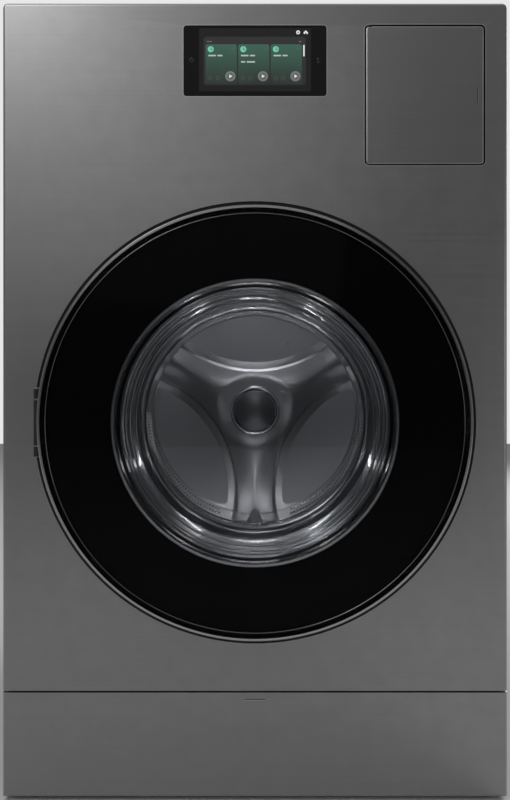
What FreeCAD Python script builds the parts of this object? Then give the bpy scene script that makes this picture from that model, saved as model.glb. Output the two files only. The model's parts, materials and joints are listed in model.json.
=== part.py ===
"""Front-loading washer dryer with one drum, a heat pump above it and a detergent drawer below it.

Millimetres, +Z up. The machine faces -Y. The origin is on the floor, midway across and midway deep.
Every size that can be set by itself is a cell of the sheet, and every sub-part is tied to those cells.
"""

import FreeCAD, Part
import math
import os
import Sketcher
from FreeCAD import Vector

OUT = "parts"
os.makedirs("parts", exist_ok=True)
doc = FreeCAD.newDocument("washer_dryer")

# --- The driving sizes: alias, value in millimetres (or a plain count or degrees), what it is. ---
SIZES = [
    ("cabinet_width", 686, "cabinet, side to side"),
    ("cabinet_height", 1079, "cabinet, skirt to top"),
    ("overall_depth", 800, "door glass to rear connectors"),
    ("floor_gap", 6, "floor to cabinet skirt"),
    ("door_proud", 30, "door glass in front of the front panel"),
    ("rear_proud", 18, "connectors behind the rear panel"),
    ("panel_sheet", 1, "steel sheet of the cabinet"),
    ("panel_gap", 1.5, "gap between outer panels"),
    ("panel_flange", 20, "return flange of the cabinet sheets"),
    ("edge_radius", 5, "rolled edge of the front panels"),
    ("panel_corner", 7, "corner radius of the front panels"),
    ("top_skirt", 25, "depth of the top cover's skirt"),
    ("pan_height", 20, "floor to underside of the base pan"),
    ("pan_wall", 32, "wall of the base pan"),
    ("foot_inset", 70, "levelling foot from the cabinet's sides"),
    ("foot_radius", 21, "rubber boot of a levelling foot"),
    ("foot_stem_radius", 6, "threaded stem of a levelling foot"),
    ("drawer_height", 142.4, "drawer front, skirt to its upper edge"),
    ("drawer_gap", 2.4, "gap between drawer front and front panel"),
    ("door_height", 509, "door centre above the skirt"),
    ("seat_radius", 300, "round recess that the door sits in"),
    ("seat_depth", 14, "depth of the door's recess"),
    ("door_radius", 287, "door, centre to rim"),
    ("door_trim", 4, "metal rim of the door"),
    ("glass_sheet", 4, "outer glass of the door"),
    ("window_radius", 189, "clear window in the door"),
    ("bowl_depth", 120, "glass bowl, front panel to its end"),
    ("bowl_taper", 14, "glass bowl's end, narrower than the window"),
    ("bowl_wall", 5, "wall of the glass bowl"),
    ("hinge_clear", 4, "hinge axis outside the door's rim"),
    ("hinge_forward", 14, "hinge axis in front of the front panel"),
    ("hinge_spread", 45, "hinge knuckles above and below centre"),
    ("hinge_pin_radius", 2.5, "door hinge pin"),
    ("fit_clearance", 0.05, "running clearance of pins in bores"),
    ("drum_lift", 6, "drum axis above door centre"),
    ("drum_radius", 270, "drum, inside"),
    ("drum_mouth", 184, "drum, radius of its mouth"),
    ("drum_front", 178, "front panel to drum lip"),
    ("drum_back", 640, "front panel to drum back"),
    ("drum_sheet", 1.2, "drum sheet"),
    ("lifter_height", 44, "lifter above the drum's wall"),
    ("tub_clearance", 20, "drum wall to tub wall"),
    ("tub_wall", 4, "tub wall"),
    ("tub_mouth", 200, "tub, radius of its collar"),
    ("tub_front", 160, "front panel to tub front"),
    ("tub_back", 668, "front panel to tub back"),
    ("shaft_radius", 15, "drum shaft"),
    ("stator_radius", 125, "motor stator"),
    ("bounce", 10, "travel of the hung tub, each way"),
    ("display_width", 194, "display glass, across"),
    ("display_height", 96, "display glass, up"),
    ("display_drop", 31.6, "display glass below the cabinet's top"),
    ("display_corner", 4, "corner radius of the display glass"),
    ("display_inset", 0.8, "display glass behind the front face"),
    ("filter_width", 161, "filter door, across"),
    ("filter_height", 188, "filter door, up"),
    ("filter_margin", 32, "filter door from the cabinet's top and side"),
    ("filter_corner", 5, "corner radius of the filter door"),
    ("filter_thick", 14, "filter door, front to back"),
    ("filter_depth", 215, "lint filter, front to back"),
    ("shelf_height", 832, "heat pump shelf above the skirt"),
    ("tray_left", 225, "drawer tray, centre to left wall"),
    ("tray_right", 262, "drawer tray, centre to right wall"),
    ("tray_depth", 400, "drawer tray, front to back"),
    ("tray_wall", 2.5, "drawer tray wall"),
    ("tray_base", 32, "drawer tray above the floor"),
    ("tray_height", 92, "drawer tray wall, up"),
    ("lid_width", 96, "refill lid, across"),
    ("lid_depth", 72, "refill lid, front to back"),
    ("rail_height", 34, "drawer rail, up"),
    ("rail_depth", 380, "drawer rail, front to back"),
    ("blower_radius", 62, "blower wheel"),
    ("inlet_radius", 13.49, "water inlet thread, outside"),
    ("inlet_bore", 9, "water inlet, bore"),
    ("drain_radius", 11, "drain spigot, outside"),
]

sheet = doc.addObject("Spreadsheet::Sheet", "Sizes")
for row, (alias, amount, meaning) in enumerate(SIZES, 1):
    sheet.set(f"A{row}", meaning)
    sheet.set(f"B{row}", str(amount))
    sheet.setAlias(f"B{row}", alias)
doc.recompute()


class Size:
    """A length that knows its value and the expression that ties it to the sheet."""

    def __init__(self, text, value):
        self.text, self.value = text, value

    def __add__(self, other):
        other = size(other)
        return Size(f"({self.text} + {other.text})", self.value + other.value)

    def __sub__(self, other):
        other = size(other)
        return Size(f"({self.text} - {other.text})", self.value - other.value)

    def __mul__(self, other):
        other = size(other)
        return Size(f"({self.text} * {other.text})", self.value * other.value)

    def __truediv__(self, other):
        other = size(other)
        return Size(f"({self.text} / {other.text})", self.value / other.value)

    def __neg__(self):
        return size(0) - self

    __radd__ = __add__
    __rmul__ = __mul__

    def __rsub__(self, other):
        return size(other) - self


def size(thing):
    """A plain number as a Size."""
    return thing if isinstance(thing, Size) else Size(f"({float(thing):.9f})", float(thing))


class Sheet:
    """The sheet's cells as Sizes: s.cabinet_width and so on."""


s = Sheet()
for alias, amount, meaning in SIZES:
    setattr(s, alias, Size(f"Sizes.{alias}", float(amount)))

NODES = {}


def bind(thing, links):
    """Ties properties of a document object to the sheet."""
    for prop, amount in links.items():
        thing.setExpression(prop, size(amount).text)


def place(thing, x=0, y=0, z=0):
    bind(thing, {"Placement.Base.x": x, "Placement.Base.y": y, "Placement.Base.z": z})


def keep(label, thing):
    """Names a document object as a sub-part that is written out."""
    thing.Label = label
    NODES[label] = thing
    return thing


# --- Shapes that a sketch can hold. Each is a function of the sketch. ---
def tie(sketch, kind, geometry, point, amount):
    """Fixes one coordinate of a sketch point, measured from the sketch's origin."""
    amount = size(amount)
    number = sketch.addConstraint(Sketcher.Constraint(kind, -1, 1, geometry, point, amount.value))
    sketch.setExpression(f"Constraints[{number}]", amount.text)


def outline(points):
    """A closed run of straight lines."""

    def draw(sketch):
        first = sketch.GeometryCount
        spots = [Vector(size(a).value, size(b).value, 0) for a, b in points]
        for here, there in zip(spots, spots[1:] + spots[:1]):
            sketch.addGeometry(Part.LineSegment(here, there), False)
        for k in range(len(points)):
            following = first + (k + 1) % len(points)
            sketch.addConstraint(Sketcher.Constraint("Coincident", first + k, 2, following, 1))
        for k, (a, b) in enumerate(points):
            tie(sketch, "DistanceX", first + k, 1, a)
            tie(sketch, "DistanceY", first + k, 1, b)

    return draw


def rect(x0, y0, x1, y1):
    return outline([(x0, y0), (x1, y0), (x1, y1), (x0, y1)])


def circle(x, y, radius):
    def draw(sketch):
        number = sketch.GeometryCount
        spot = Vector(size(x).value, size(y).value, 0)
        sketch.addGeometry(Part.Circle(spot, Vector(0, 0, 1), size(radius).value), False)
        tie(sketch, "DistanceX", number, 3, x)
        tie(sketch, "DistanceY", number, 3, y)
        k = sketch.addConstraint(Sketcher.Constraint("Radius", number, size(radius).value))
        sketch.setExpression(f"Constraints[{k}]", size(radius).text)

    return draw


# What each sketch plane is called here: its origin plane, and the sign of its normal.
PLANES = {"top": ("XY_Plane", 1), "front": ("XZ_Plane", -1), "side": ("YZ_Plane", 1)}


class Piece:
    """A PartDesign body. Depths run up (+Z) from a top plane, back (+Y) from a front one, and right (+X)
    from a side one."""

    def __init__(self, label, x=0, y=0, z=0):
        self.body = doc.addObject("PartDesign::Body", label)
        place(self.body, x, y, z)
        keep(label, self.body)

    def sketch(self, plane, shapes, offset=0):
        role, normal = PLANES[plane]
        found = self.body.newObject("Sketcher::SketchObject", self.body.Name + "_sketch")
        origin = next(o for o in self.body.Origin.OriginFeatures if o.Role == role)
        found.AttachmentSupport = [(origin, "")]
        found.MapMode = "FlatFace"
        bind(found, {"AttachmentOffset.Base.z": size(offset) * normal})
        for draw in shapes:
            draw(found)
        return found

    def feature(self, kind, profile=None):
        found = self.body.newObject("PartDesign::" + kind, f"{self.body.Name}_{kind.lower()}")
        if profile is not None:
            found.Profile = profile
            profile.Visibility = False
        return found

    def pad(self, plane, shapes, start, end):
        found = self.feature("Pad", self.sketch(plane, shapes, start))
        found.Reversed = PLANES[plane][1] < 0
        bind(found, {"Length": size(end) - start})
        doc.recompute()
        return self

    def pocket(self, plane, shapes, start, end):
        before = self.body.Shape.Volume
        found = self.feature("Pocket", self.sketch(plane, shapes, start))
        found.Reversed = PLANES[plane][1] > 0
        bind(found, {"Length": size(end) - start})
        doc.recompute()
        if not self.body.Shape.Volume < before - 1e-6:
            raise RuntimeError(f"{self.body.Label}: a pocket cuts nothing")
        return self

    def turn(self, points, kind="Revolution", axis="H_Axis", plane="side"):
        """Turns an outline about the body's depth axis, or about its upright axis with axis V_Axis."""
        before = self.body.Shape.Volume if kind == "Groove" else 0
        profile = self.sketch(plane, [outline(points)])
        found = self.feature(kind, profile)
        found.ReferenceAxis = (profile, [axis])
        found.Angle = 360
        doc.recompute()
        if kind == "Groove" and not self.body.Shape.Volume < before - 1e-6:
            raise RuntimeError(f"{self.body.Label}: a groove cuts nothing")
        return self

    def edges(self, chosen):
        doc.recompute()
        tip = self.body.Tip
        return tip, [f"Edge{k}" for k, e in enumerate(tip.Shape.Edges, 1) if chosen(e)]

    def fillet(self, radius, chosen):
        base = self.edges(chosen)
        found = self.feature("Fillet")
        found.Base = base
        bind(found, {"Radius": radius})
        doc.recompute()
        return self

    def chamfer(self, width, chosen):
        base = self.edges(chosen)
        found = self.feature("Chamfer")
        found.Base = base
        bind(found, {"Size": width})
        doc.recompute()
        return self

    def shell(self, wall, chosen):
        """Hollows the solid to a wall, open at the chosen faces."""
        doc.recompute()
        tip = self.body.Tip
        names = [f"Face{k}" for k, f in enumerate(tip.Shape.Faces, 1) if chosen(f)]
        found = self.feature("Thickness")
        found.Base = (tip, names)
        found.Reversed = True
        bind(found, {"Value": wall})
        doc.recompute()
        return self

    def around(self, count, axis="Y_Axis"):
        """Repeats the last feature evenly about one of the body's own axes."""
        original = self.body.Tip
        found = self.feature("PolarPattern")
        found.Originals = [original]
        line = next(o for o in self.body.Origin.OriginFeatures if o.Role == axis)
        found.Axis = (line, [""])
        found.Angle = 360
        found.Occurrences = count
        self.body.Tip = found
        doc.recompute()
        return self


# --- Choosers for edges and faces, in a body's own coordinates. ---
def flat_at(**where):
    """True for an edge or face that lies wholly at the coordinates given, such as y=front."""

    def chosen(shape):
        box = shape.BoundBox
        for name, amount in where.items():
            low, high = getattr(box, name.upper() + "Min"), getattr(box, name.upper() + "Max")
            if abs(low - size(amount).value) > 0.02 or abs(high - size(amount).value) > 0.02:
                return False
        return True

    return chosen


def along(axis, *spots):
    """True for a straight edge along an axis that stands at one of the spots, each a dict of coordinates."""

    def chosen(edge):
        box = edge.BoundBox
        spans = {"x": box.XLength, "y": box.YLength, "z": box.ZLength}
        long_one = spans.pop(axis)
        if long_one < 0.5 or max(spans.values()) > 0.02:
            return False
        return not spots or any(flat_at(**spot)(edge) for spot in spots)

    return chosen


# --- Part primitives and booleans. ---
def block(name, x0, y0, z0, x1, y1, z1):
    found = doc.addObject("Part::Box", name)
    bind(found, {"Length": size(x1) - x0, "Width": size(y1) - y0, "Height": size(z1) - z0})
    place(found, x0, y0, z0)
    return found


TURNS = {
    "x": FreeCAD.Rotation(Vector(0, 1, 0), 90),
    "y": FreeCAD.Rotation(Vector(1, 0, 0), -90),
    "z": FreeCAD.Rotation(),
}


def rod(name, axis, x, y, z, radius, length):
    """A cylinder that runs along +axis from its foot."""
    found = doc.addObject("Part::Cylinder", name)
    found.Placement = FreeCAD.Placement(Vector(), TURNS[axis])
    bind(found, {"Radius": radius, "Height": length})
    place(found, x, y, z)
    return found


def tube(name, axis, x, y, z, outer, inner, length):
    core = rod(name + "_core", axis, x, y, z, inner, length)
    return cut(name, rod(name + "_skin", axis, x, y, z, outer, length), core)


def cut(name, base, *tools):
    found = doc.addObject("Part::Cut", name)
    found.Base = base
    found.Tool = tools[0] if len(tools) == 1 else fuse(name + "_tools", *tools)
    return found


def fuse(name, *shapes):
    found = doc.addObject("Part::MultiFuse", name)
    found.Shapes = list(shapes)
    return found


def group(label, *shapes):
    """Separate solids that are kept as one node."""
    found = doc.addObject("Part::Compound", label)
    found.Links = list(shapes)
    return keep(label, found)


def part(label, thing):
    return keep(label, thing)


# --- The main planes, worked out from the sheet. ---
half = s.cabinet_width / 2
front = s.door_proud - s.overall_depth / 2
back = s.overall_depth / 2 - s.rear_proud
skirt = s.floor_gap
top = skirt + s.cabinet_height
drawer_top = skirt + s.drawer_height
front_low = drawer_top + s.drawer_gap
door_z = skirt + s.door_height
drum_z = door_z + s.drum_lift
front_deep = s.panel_flange + 2
box_front = front + front_deep + s.panel_gap
box_top = top - s.top_skirt - s.panel_gap
inner = half - s.panel_sheet - 0.5
shelf = skirt + s.shelf_height
rear_face = back - s.panel_sheet - 0.3
rear_inside = rear_face - s.panel_sheet

# The filter door's opening and the display's place in the front panel.
filter_right = half - s.filter_margin
filter_left = filter_right - s.filter_width
filter_top = top - s.filter_margin
filter_low = filter_top - s.filter_height
display_top = top - s.display_drop
display_low = display_top - s.display_height
display_half = s.display_width / 2


# --- Cabinet ---
def make_front_panel():
    """The wide upper front: a folded sheet with a round opening for the door, and two smaller ones."""
    p = Piece("front_panel", 0, front, 0)
    p.pad("front", [rect(-half, front_low, half, top)], 0, front_deep)
    p.fillet(s.panel_corner, along("y", {"z": top}))
    p.fillet(s.edge_radius, lambda e: flat_at(y=0)(e) and not flat_at(z=front_low)(e))
    p.shell(s.panel_sheet, flat_at(y=front_deep))
    p.pocket("front", [circle(0, door_z, s.seat_radius)], 0, 8)
    gap = s.panel_gap
    openings = [
        rect(-display_half - 0.5, display_low - 0.5, display_half + 0.5, display_top + 0.5),
        rect(filter_left - gap, filter_low - gap, filter_right + gap, filter_top + gap),
    ]
    p.pocket("front", openings, -1, 8)
    corners = [
        {"x": sign * (display_half + 0.5), "z": z}
        for sign in (-1, 1)
        for z in (display_low - 0.5, display_top + 0.5)
    ]
    p.fillet(s.display_corner + 0.5, along("y", *corners))
    corners = [
        {"x": x, "z": z}
        for x in (filter_left - gap, filter_right + gap)
        for z in (filter_low - gap, filter_top + gap)
    ]
    p.fillet(s.filter_corner + gap, along("y", *corners))


def make_side_panel(label, side):
    """A side sheet with flanges turned in all round and a shallow stamped field that stiffens it."""
    p = Piece(label, half * side, 0, 0)
    deep = s.panel_flange
    start, end = (0, deep) if side < 0 else (-deep, 0)
    p.pad("side", [rect(box_front, skirt, back, box_top)], start, end)
    p.fillet(3, along("z", {"x": 0, "y": back}))
    p.shell(s.panel_sheet, flat_at(x=end if side < 0 else start))
    low, high = skirt + 150, box_top - 110
    left, right = box_front + 90, back - 90
    stamp = 2.5
    wall = s.panel_sheet
    if side < 0:
        p.pad("side", [rect(left - wall, low - wall, right + wall, high + wall)], wall / 2, wall + stamp)
        p.pocket("side", [rect(left, low, right, high)], -1, stamp)
    else:
        p.pad("side", [rect(left - wall, low - wall, right + wall, high + wall)], -wall - stamp, -wall / 2)
        p.pocket("side", [rect(left, low, right, high)], -size(stamp), 1)


def make_top_cover():
    p = Piece("top_cover")
    p.pad("top", [rect(-half, box_front, half, back)], top - s.top_skirt, top)
    p.fillet(s.panel_corner, along("z", {"y": back}))
    p.fillet(s.edge_radius, lambda e: flat_at(z=top)(e) and not flat_at(y=box_front)(e))
    p.shell(s.panel_sheet, flat_at(z=top - s.top_skirt))


def make_base_pan():
    """A tray with upright walls at the sides and the rear. The feet's stems pass up through it."""
    wide = inner
    near, far = box_front + 2, rear_inside - 0.5
    low = s.pan_height
    wall = s.panel_sheet
    p = Piece("base_pan")
    p.pad("top", [rect(-wide, near, wide, far)], low, low + s.pan_wall)
    p.pocket("top", [rect(-wide + wall, near - 1, wide - wall, far - wall)], low + wall, low + s.pan_wall + 1)
    holes = [circle(x, y, s.foot_stem_radius + 0.5) for x, y in foot_spots()]
    p.pocket("top", holes, low - 1, low + wall + 1)


def foot_spots():
    return [
        (side * (half - s.foot_inset), y)
        for side in (size(-1), size(1))
        for y in (box_front + s.foot_inset, back - s.foot_inset)
    ]


def make_feet():
    """Four rubber-booted feet on threaded stems, each locked under the pan by a hexagon nut."""
    feet, nuts = [], []
    pad_high = 9
    nut_high = 8
    for number, (x, y) in enumerate(foot_spots()):
        boot = rod(f"foot_boot_{number}", "z", x, y, 0, s.foot_radius, pad_high)
        stem = rod(f"foot_stem_{number}", "z", x, y, pad_high, s.foot_stem_radius, s.pan_height + 16)
        rounded = doc.addObject("Part::Fillet", f"foot_round_{number}")
        rounded.Base = boot
        doc.recompute()
        rounded.Edges = [(k, 1.5, 1.5) for k, e in enumerate(boot.Shape.Edges, 1) if e.Closed]
        feet += [rounded, stem]
        hexagon = doc.addObject("Part::Prism", f"nut_hexagon_{number}")
        hexagon.Polygon = 6
        bind(hexagon, {"Circumradius": s.foot_stem_radius + 5, "Height": nut_high})
        place(hexagon, x, y, s.pan_height - nut_high - 0.2)
        bore = rod(f"nut_bore_{number}", "z", x, y, 0, s.foot_stem_radius + s.fit_clearance, s.pan_height)
        nuts.append(cut(f"nut_{number}", hexagon, bore))
    group("levelling_feet", *feet, *nuts)


# Where the connections leave the rear: the two water inlets, the drain and the mains gland.
inlets = [(-half + 93, skirt + 244), (-half + 153, skirt + 244)]
drain = (half - 123, skirt + 209)
gland = (half - 93, top - 125)
GLAND_RADIUS = 9
COVER_RADIUS = 205
COVER_SCREWS = [
    (197 * math.cos(math.radians(45 + 90 * k)), 197 * math.sin(math.radians(45 + 90 * k)))
    for k in range(4)
]


def make_rear():
    """The rear sheet with holes for motor, vents, water, drain and mains, and the motor's cover."""
    low = skirt + s.panel_sheet + 0.5
    high = box_top - s.panel_sheet - 0.5
    before, behind = rear_inside - 1, rear_face + 1
    p = Piece("rear_panel")
    p.pad("front", [rect(4 - inner, low, inner - 4, high)], rear_inside, rear_face)
    p.pocket("front", [circle(0, drum_z, COVER_RADIUS - 30)], before, behind)
    holes = [circle(x, z, s.inlet_radius + 3) for x, z in inlets]
    holes.append(circle(*drain, s.drain_radius + 3))
    holes.append(circle(*gland, GLAND_RADIUS + 1))
    holes += [circle(a, drum_z + b, 1.9) for a, b in COVER_SCREWS]
    p.pocket("front", holes, before, behind)
    slots = [
        rect(column * 150 - 250, top - 190 + line * 13, column * 150 - 150, top - 185 + line * 13)
        for column in range(3)
        for line in range(8)
    ]
    p.pocket("front", slots, before, behind)

    # A pressed dish of even sheet, with a flat rim for its screws.
    cover = Piece("rear_access_cover", 0, rear_face, drum_z)
    rim, bulge = COVER_RADIUS, 9
    dish = [(bulge - 1, 0), (bulge, 0), (bulge, rim - 45), (1.2, rim - 13)]
    dish += [(1.2, rim), (0.1, rim), (0.1, rim - 13.6), (bulge - 1, rim - 45.6)]
    cover.turn(dish)
    cover.pocket("front", [circle(a, b, 1.9) for a, b in COVER_SCREWS], -1, 4)
    screws = []
    for number, (a, b) in enumerate(COVER_SCREWS):
        stem = rod(f"screw_stem_{number}", "y", a, rear_inside - 8, drum_z + b, 1.8, 11.5)
        head = rod(f"screw_head_{number}", "y", a, rear_face + 1.3, drum_z + b, 4.5, 2.4)
        slot = block(f"screw_slot_{number}", a - 3.5, rear_face + 2.7, drum_z + b - 0.5,
                     a + 3.5, rear_face + 4, drum_z + b + 0.5)
        screws.append(cut(f"screw_{number}", fuse(f"screw_body_{number}", stem, head), slot))
    return screws


# --- Display and controls ---
def make_controls():
    glass_face = front + s.display_inset
    glass = Piece("display_glass", 0, glass_face, 0)
    glass.pad("front", [rect(-display_half, display_low, display_half, display_top)], 0, 3)
    glass.fillet(s.display_corner, along("y"))
    glass.chamfer(0.4, flat_at(y=0))

    # The screen's frame is a tray that holds the panel of the screen against the glass.
    screen_half = 76
    low, high = display_low + 5, display_top - 5
    module = Piece("display_module", 0, glass_face, 0)
    module.pad("front", [rect(-screen_half, low, screen_half, high)], 3.1, 14)
    module.pocket("front", [rect(3 - screen_half, low + 3, screen_half - 3, high - 3)], 7, 15)
    ribs = [rect(x - 1, low + 2, x + 1, high - 2) for x in (-40, 0, 40)]
    module.pad("front", ribs, 6, 12)

    case = Piece("control_board_case", 0, glass_face, 0)
    wide = display_half + 8
    case.pad("front", [rect(-wide, display_low - 14, wide, display_top + 4)], 18, 52)
    case.fillet(4, along("y"))
    case.shell(2, flat_at(y=18))
    vents = [rect(x, display_low + 10, x + 4, display_top - 20) for x in range(-70, 74, 12)]
    case.pocket("front", vents, 49, 53)
    plugs = [rect(x, display_low - 6, x + 26, display_low + 4) for x in (-80, -40, 20)]
    case.pad("front", plugs, 51, 59)


# --- Filter door, its housing and the lint filter that comes out with it ---
hinge_x = filter_left + 4
HINGE_BACK = 5
HINGE_PIN = 2


def make_filter_door():
    wide, low, high = s.filter_width, filter_low, filter_top
    p = Piece("filter_door", filter_left, front, 0)
    p.pad("front", [rect(0, low, wide, high)], 0, s.filter_thick)
    p.fillet(s.filter_corner, along("y"))
    p.fillet(3, flat_at(y=0))
    p.shell(2, flat_at(y=s.filter_thick))
    boss = 4
    ends = ((low, low + 12), (high - 12, high))
    axis = hinge_x - filter_left
    for start, end in ends:
        shapes = [circle(axis, HINGE_BACK, boss)]
        p.pad("top", shapes, start + 1, end - 1)
    for start, end in ends:
        shapes = [circle(axis, HINGE_BACK, s.fit_clearance + HINGE_PIN)]
        p.pocket("top", shapes, start - 1, end + 1)
    latch_z = (low + high) / 2
    p.pad("front", [rect(wide - 20, latch_z - 5, wide - 14, latch_z + 5)], 1, s.filter_thick + 8)

    lugs = []
    for number, (z0, z1, pin) in enumerate(((low - 9, low - 2, low - 4), (high + 2, high + 9, high - 8))):
        lug = block(f"filter_lug_{number}", hinge_x - 6, front + 1, z0, hinge_x + 6, front + 20, z1)
        lugs.append(fuse(f"filter_hinge_{number}", lug, rod(
            f"filter_pin_{number}", "z", hinge_x, front + HINGE_BACK, pin, HINGE_PIN, 12)))
    group("filter_door_hinges", *lugs)


def make_lint_filter():
    """A duct behind the filter door, and a mesh-walled cassette that slides in it."""
    x0, x1 = filter_left + 36, filter_right - 30
    z0, z1 = filter_low + 10, filter_top - 10
    start, wall = 24, 2.5
    housing = Piece("lint_filter_housing", 0, front, 0)
    housing.pad("front", [rect(x0, z0, x1, z1)], start, s.filter_depth + 30)
    housing.fillet(5, along("y"))
    housing.shell(wall, flat_at(y=start))
    rear = s.filter_depth + 30
    outlet = [rect(x0 + 16, z0 + 16, x1 - 16, z1 - 16)]
    housing.pocket("front", outlet, rear - 4, rear + 1)

    gap = 1.2
    a0, a1 = x0 + wall + gap, x1 - wall - gap
    b0, b1 = z0 + wall + gap, z1 - wall - gap
    cassette = Piece("lint_filter", 0, front, 0)
    cassette.pad("front", [rect(a0, b0, a1, b1)], start + 2, s.filter_depth)
    cassette.fillet(4, along("y"))
    cassette.shell(2, flat_at(y=s.filter_depth))
    middle = (a0 + a1) / 2
    windows = [
        rect(start + 20 + k * 44, b0 + 14, start + 56 + k * 44, b1 - 14)
        for k in range(4)
    ]
    cassette.pocket("side", windows, a0 - 1, a1 + 1)
    # A pull: a bridge across a recess in the cassette's face.
    cassette.pocket("front", [rect(middle - 30, b1 - 52, middle + 30, b1 - 22)], start, start + 5)
    cassette.pad("front", [rect(middle - 31, b1 - 41, middle + 31, b1 - 33)], start + 2, start + 5)


def make_push_latches():
    """Two push-to-open catches: one takes the filter door's tongue, one stands behind the drawer's front."""
    x, z = filter_right - 17, (filter_low + filter_top) / 2
    near = s.filter_thick + 3
    body = block("latch_body", x - 10, front + near, z - 14, x + 12, front + near + 34, z + 14)
    mouth = block("latch_mouth", x - 5.5, front + near - 1, z - 7, x + 6.5, front + near + 24, z + 7)
    filter_latch = cut("filter_latch", body, mouth)
    # The drawer's catch hangs from the lower flange of the front panel, above the tanks.
    z = front_low
    body = block("latch_case", -9, front + 24.5, z - 11, 9, front + 62, z - 1)
    stem = rod("latch_plunger", "y", 0, front + 22, z - 6, 3, 10)
    tab = block("latch_tab", -8, front + 8, z - 1.6, 8, front + 50, z)
    group("push_latches", filter_latch, fuse("drawer_latch", body, stem, tab))


# --- Drawer with two refill tanks ---
tray_left, tray_right = -s.tray_left, s.tray_right
tray_low = s.tray_base
tray_high = tray_low + s.tray_height
tray_start = 19
tray_end = s.tray_depth + tray_start
divider = tray_left + (s.tray_left + s.tray_right) * 0.56
COVER_THICK = 3
lid_front = 46
lid_back = s.lid_depth + lid_front
lid_centres = [(tray_left + divider) / 2, (divider + tray_right) / 2]


def make_drawer():
    face = Piece("drawer_front", 0, front, 0)
    deep = 17
    face.pad("front", [rect(-half, skirt, half, drawer_top)], 0, deep)
    face.fillet(s.edge_radius, lambda e: flat_at(y=0)(e) and not flat_at(z=drawer_top)(e))
    face.shell(s.panel_sheet, flat_at(y=deep))

    liner = Piece("drawer_liner", 0, front, 0)
    wide, low, high = half - 2, skirt + 2, drawer_top - 2
    liner.pad("front", [rect(-wide, low, wide, high)], 13, tray_start)
    liner.fillet(2, along("y"))
    hollows = [
        rect(-wide + 8 + k * 0.25 * (2 * wide - 8), low + 8,
             -wide + (k + 1) * 0.25 * (2 * wide - 8), high - 8)
        for k in range(4)
    ]
    liner.pocket("front", hollows, 12, 16)

    wall = s.tray_wall
    tray = Piece("drawer_tray", 0, front, 0)
    tray.pad("top", [rect(tray_left, tray_start, tray_right, tray_end)], tray_low, tray_high)
    tray.fillet(6, along("z"))
    wells = [
        rect(tray_left + wall, tray_start + wall, divider - wall / 2, tray_end - wall),
        rect(divider + wall / 2, tray_start + wall, tray_right - wall, tray_end - wall),
    ]
    tray.pocket("top", wells, tray_low + wall, tray_high + 1)
    bosses = [circle(x, tray_end - 40, 11) for x in lid_centres]
    tray.pad("top", bosses, tray_low + wall / 2, tray_low + 22)

    cover = Piece("drawer_tank_cover", 0, front, 0)
    cover.pad("top", [rect(tray_left, tray_start, tray_right, tray_end)], tray_high, tray_high + COVER_THICK)
    cover.fillet(6, along("z"))
    grip = 3
    holes = [
        rect(x - s.lid_width / 2 + grip, lid_front + grip, x + s.lid_width / 2 - grip, lid_back - grip)
        for x in lid_centres
    ]
    cover.pocket("top", holes, tray_high - 1, tray_high + COVER_THICK + 1)
    up = tray_high + COVER_THICK
    ears = [
        rect(x + side * (s.lid_width / 2 - 12) - 4, lid_back + 1.8, x + side * (s.lid_width / 2 - 12) + 4,
             lid_back + 9.2)
        for x in lid_centres
        for side in (-1, 1)
    ]
    cover.pad("top", ears, up - 1, up + 7.9)
    for x in lid_centres:
        for side in (-1, 1):
            ear = x + side * (s.lid_width / 2 - 12)
            hole = [circle(lid_back + 5.2, up + 4.5, s.fit_clearance + LID_PIN)]
            cover.pocket("side", hole, ear - 6, ear + 6)
    ribs = [
        rect(tray_left + 14, y - 1.5, tray_right - 14, y + 1.5)
        for y in (lid_back + 50, lid_back + 110, lid_back + 170)
    ]
    cover.pad("top", ribs, up - 1, up + 2)


LID_PIN = 1.5


def make_lids():
    """Two refill lids. Each turns at its rear edge between two ears of the tank cover."""
    up = tray_high + COVER_THICK
    for label, x in zip(("detergent_lid", "softener_lid"), lid_centres):
        wide = s.lid_width / 2
        lid = Piece(label, x, front, 0)
        lid.pad("top", [rect(-wide, lid_front, wide, lid_back)], up + 0.3, up + 5)
        lid.fillet(7, along("z", *({"y": lid_front, "x": side * wide} for side in (-1, 1))))
        lid.fillet(1.2, flat_at(z=up + 5))
        # A knuckle spans the ears, with a pin through it that stands out into both.
        reach = wide - 12 - 4.4
        lid.pad("side", [rect(lid_back - 1, up + 0.6, lid_back + 5.2, up + 4.6)], -reach, reach)
        lid.pad("side", [circle(lid_back + 5.2, up + 4.5, 3.2)], -reach, reach)
        lid.pad("side", [circle(lid_back + 5.2, up + 4.5, LID_PIN)], -reach - 8, reach + 8)
        # A lip at the front edge to lift it by.
        lid.pad("top", [rect(-16, lid_front - 4, 16, lid_front + 2)], up + 2.6, up + 4.6)


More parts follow.
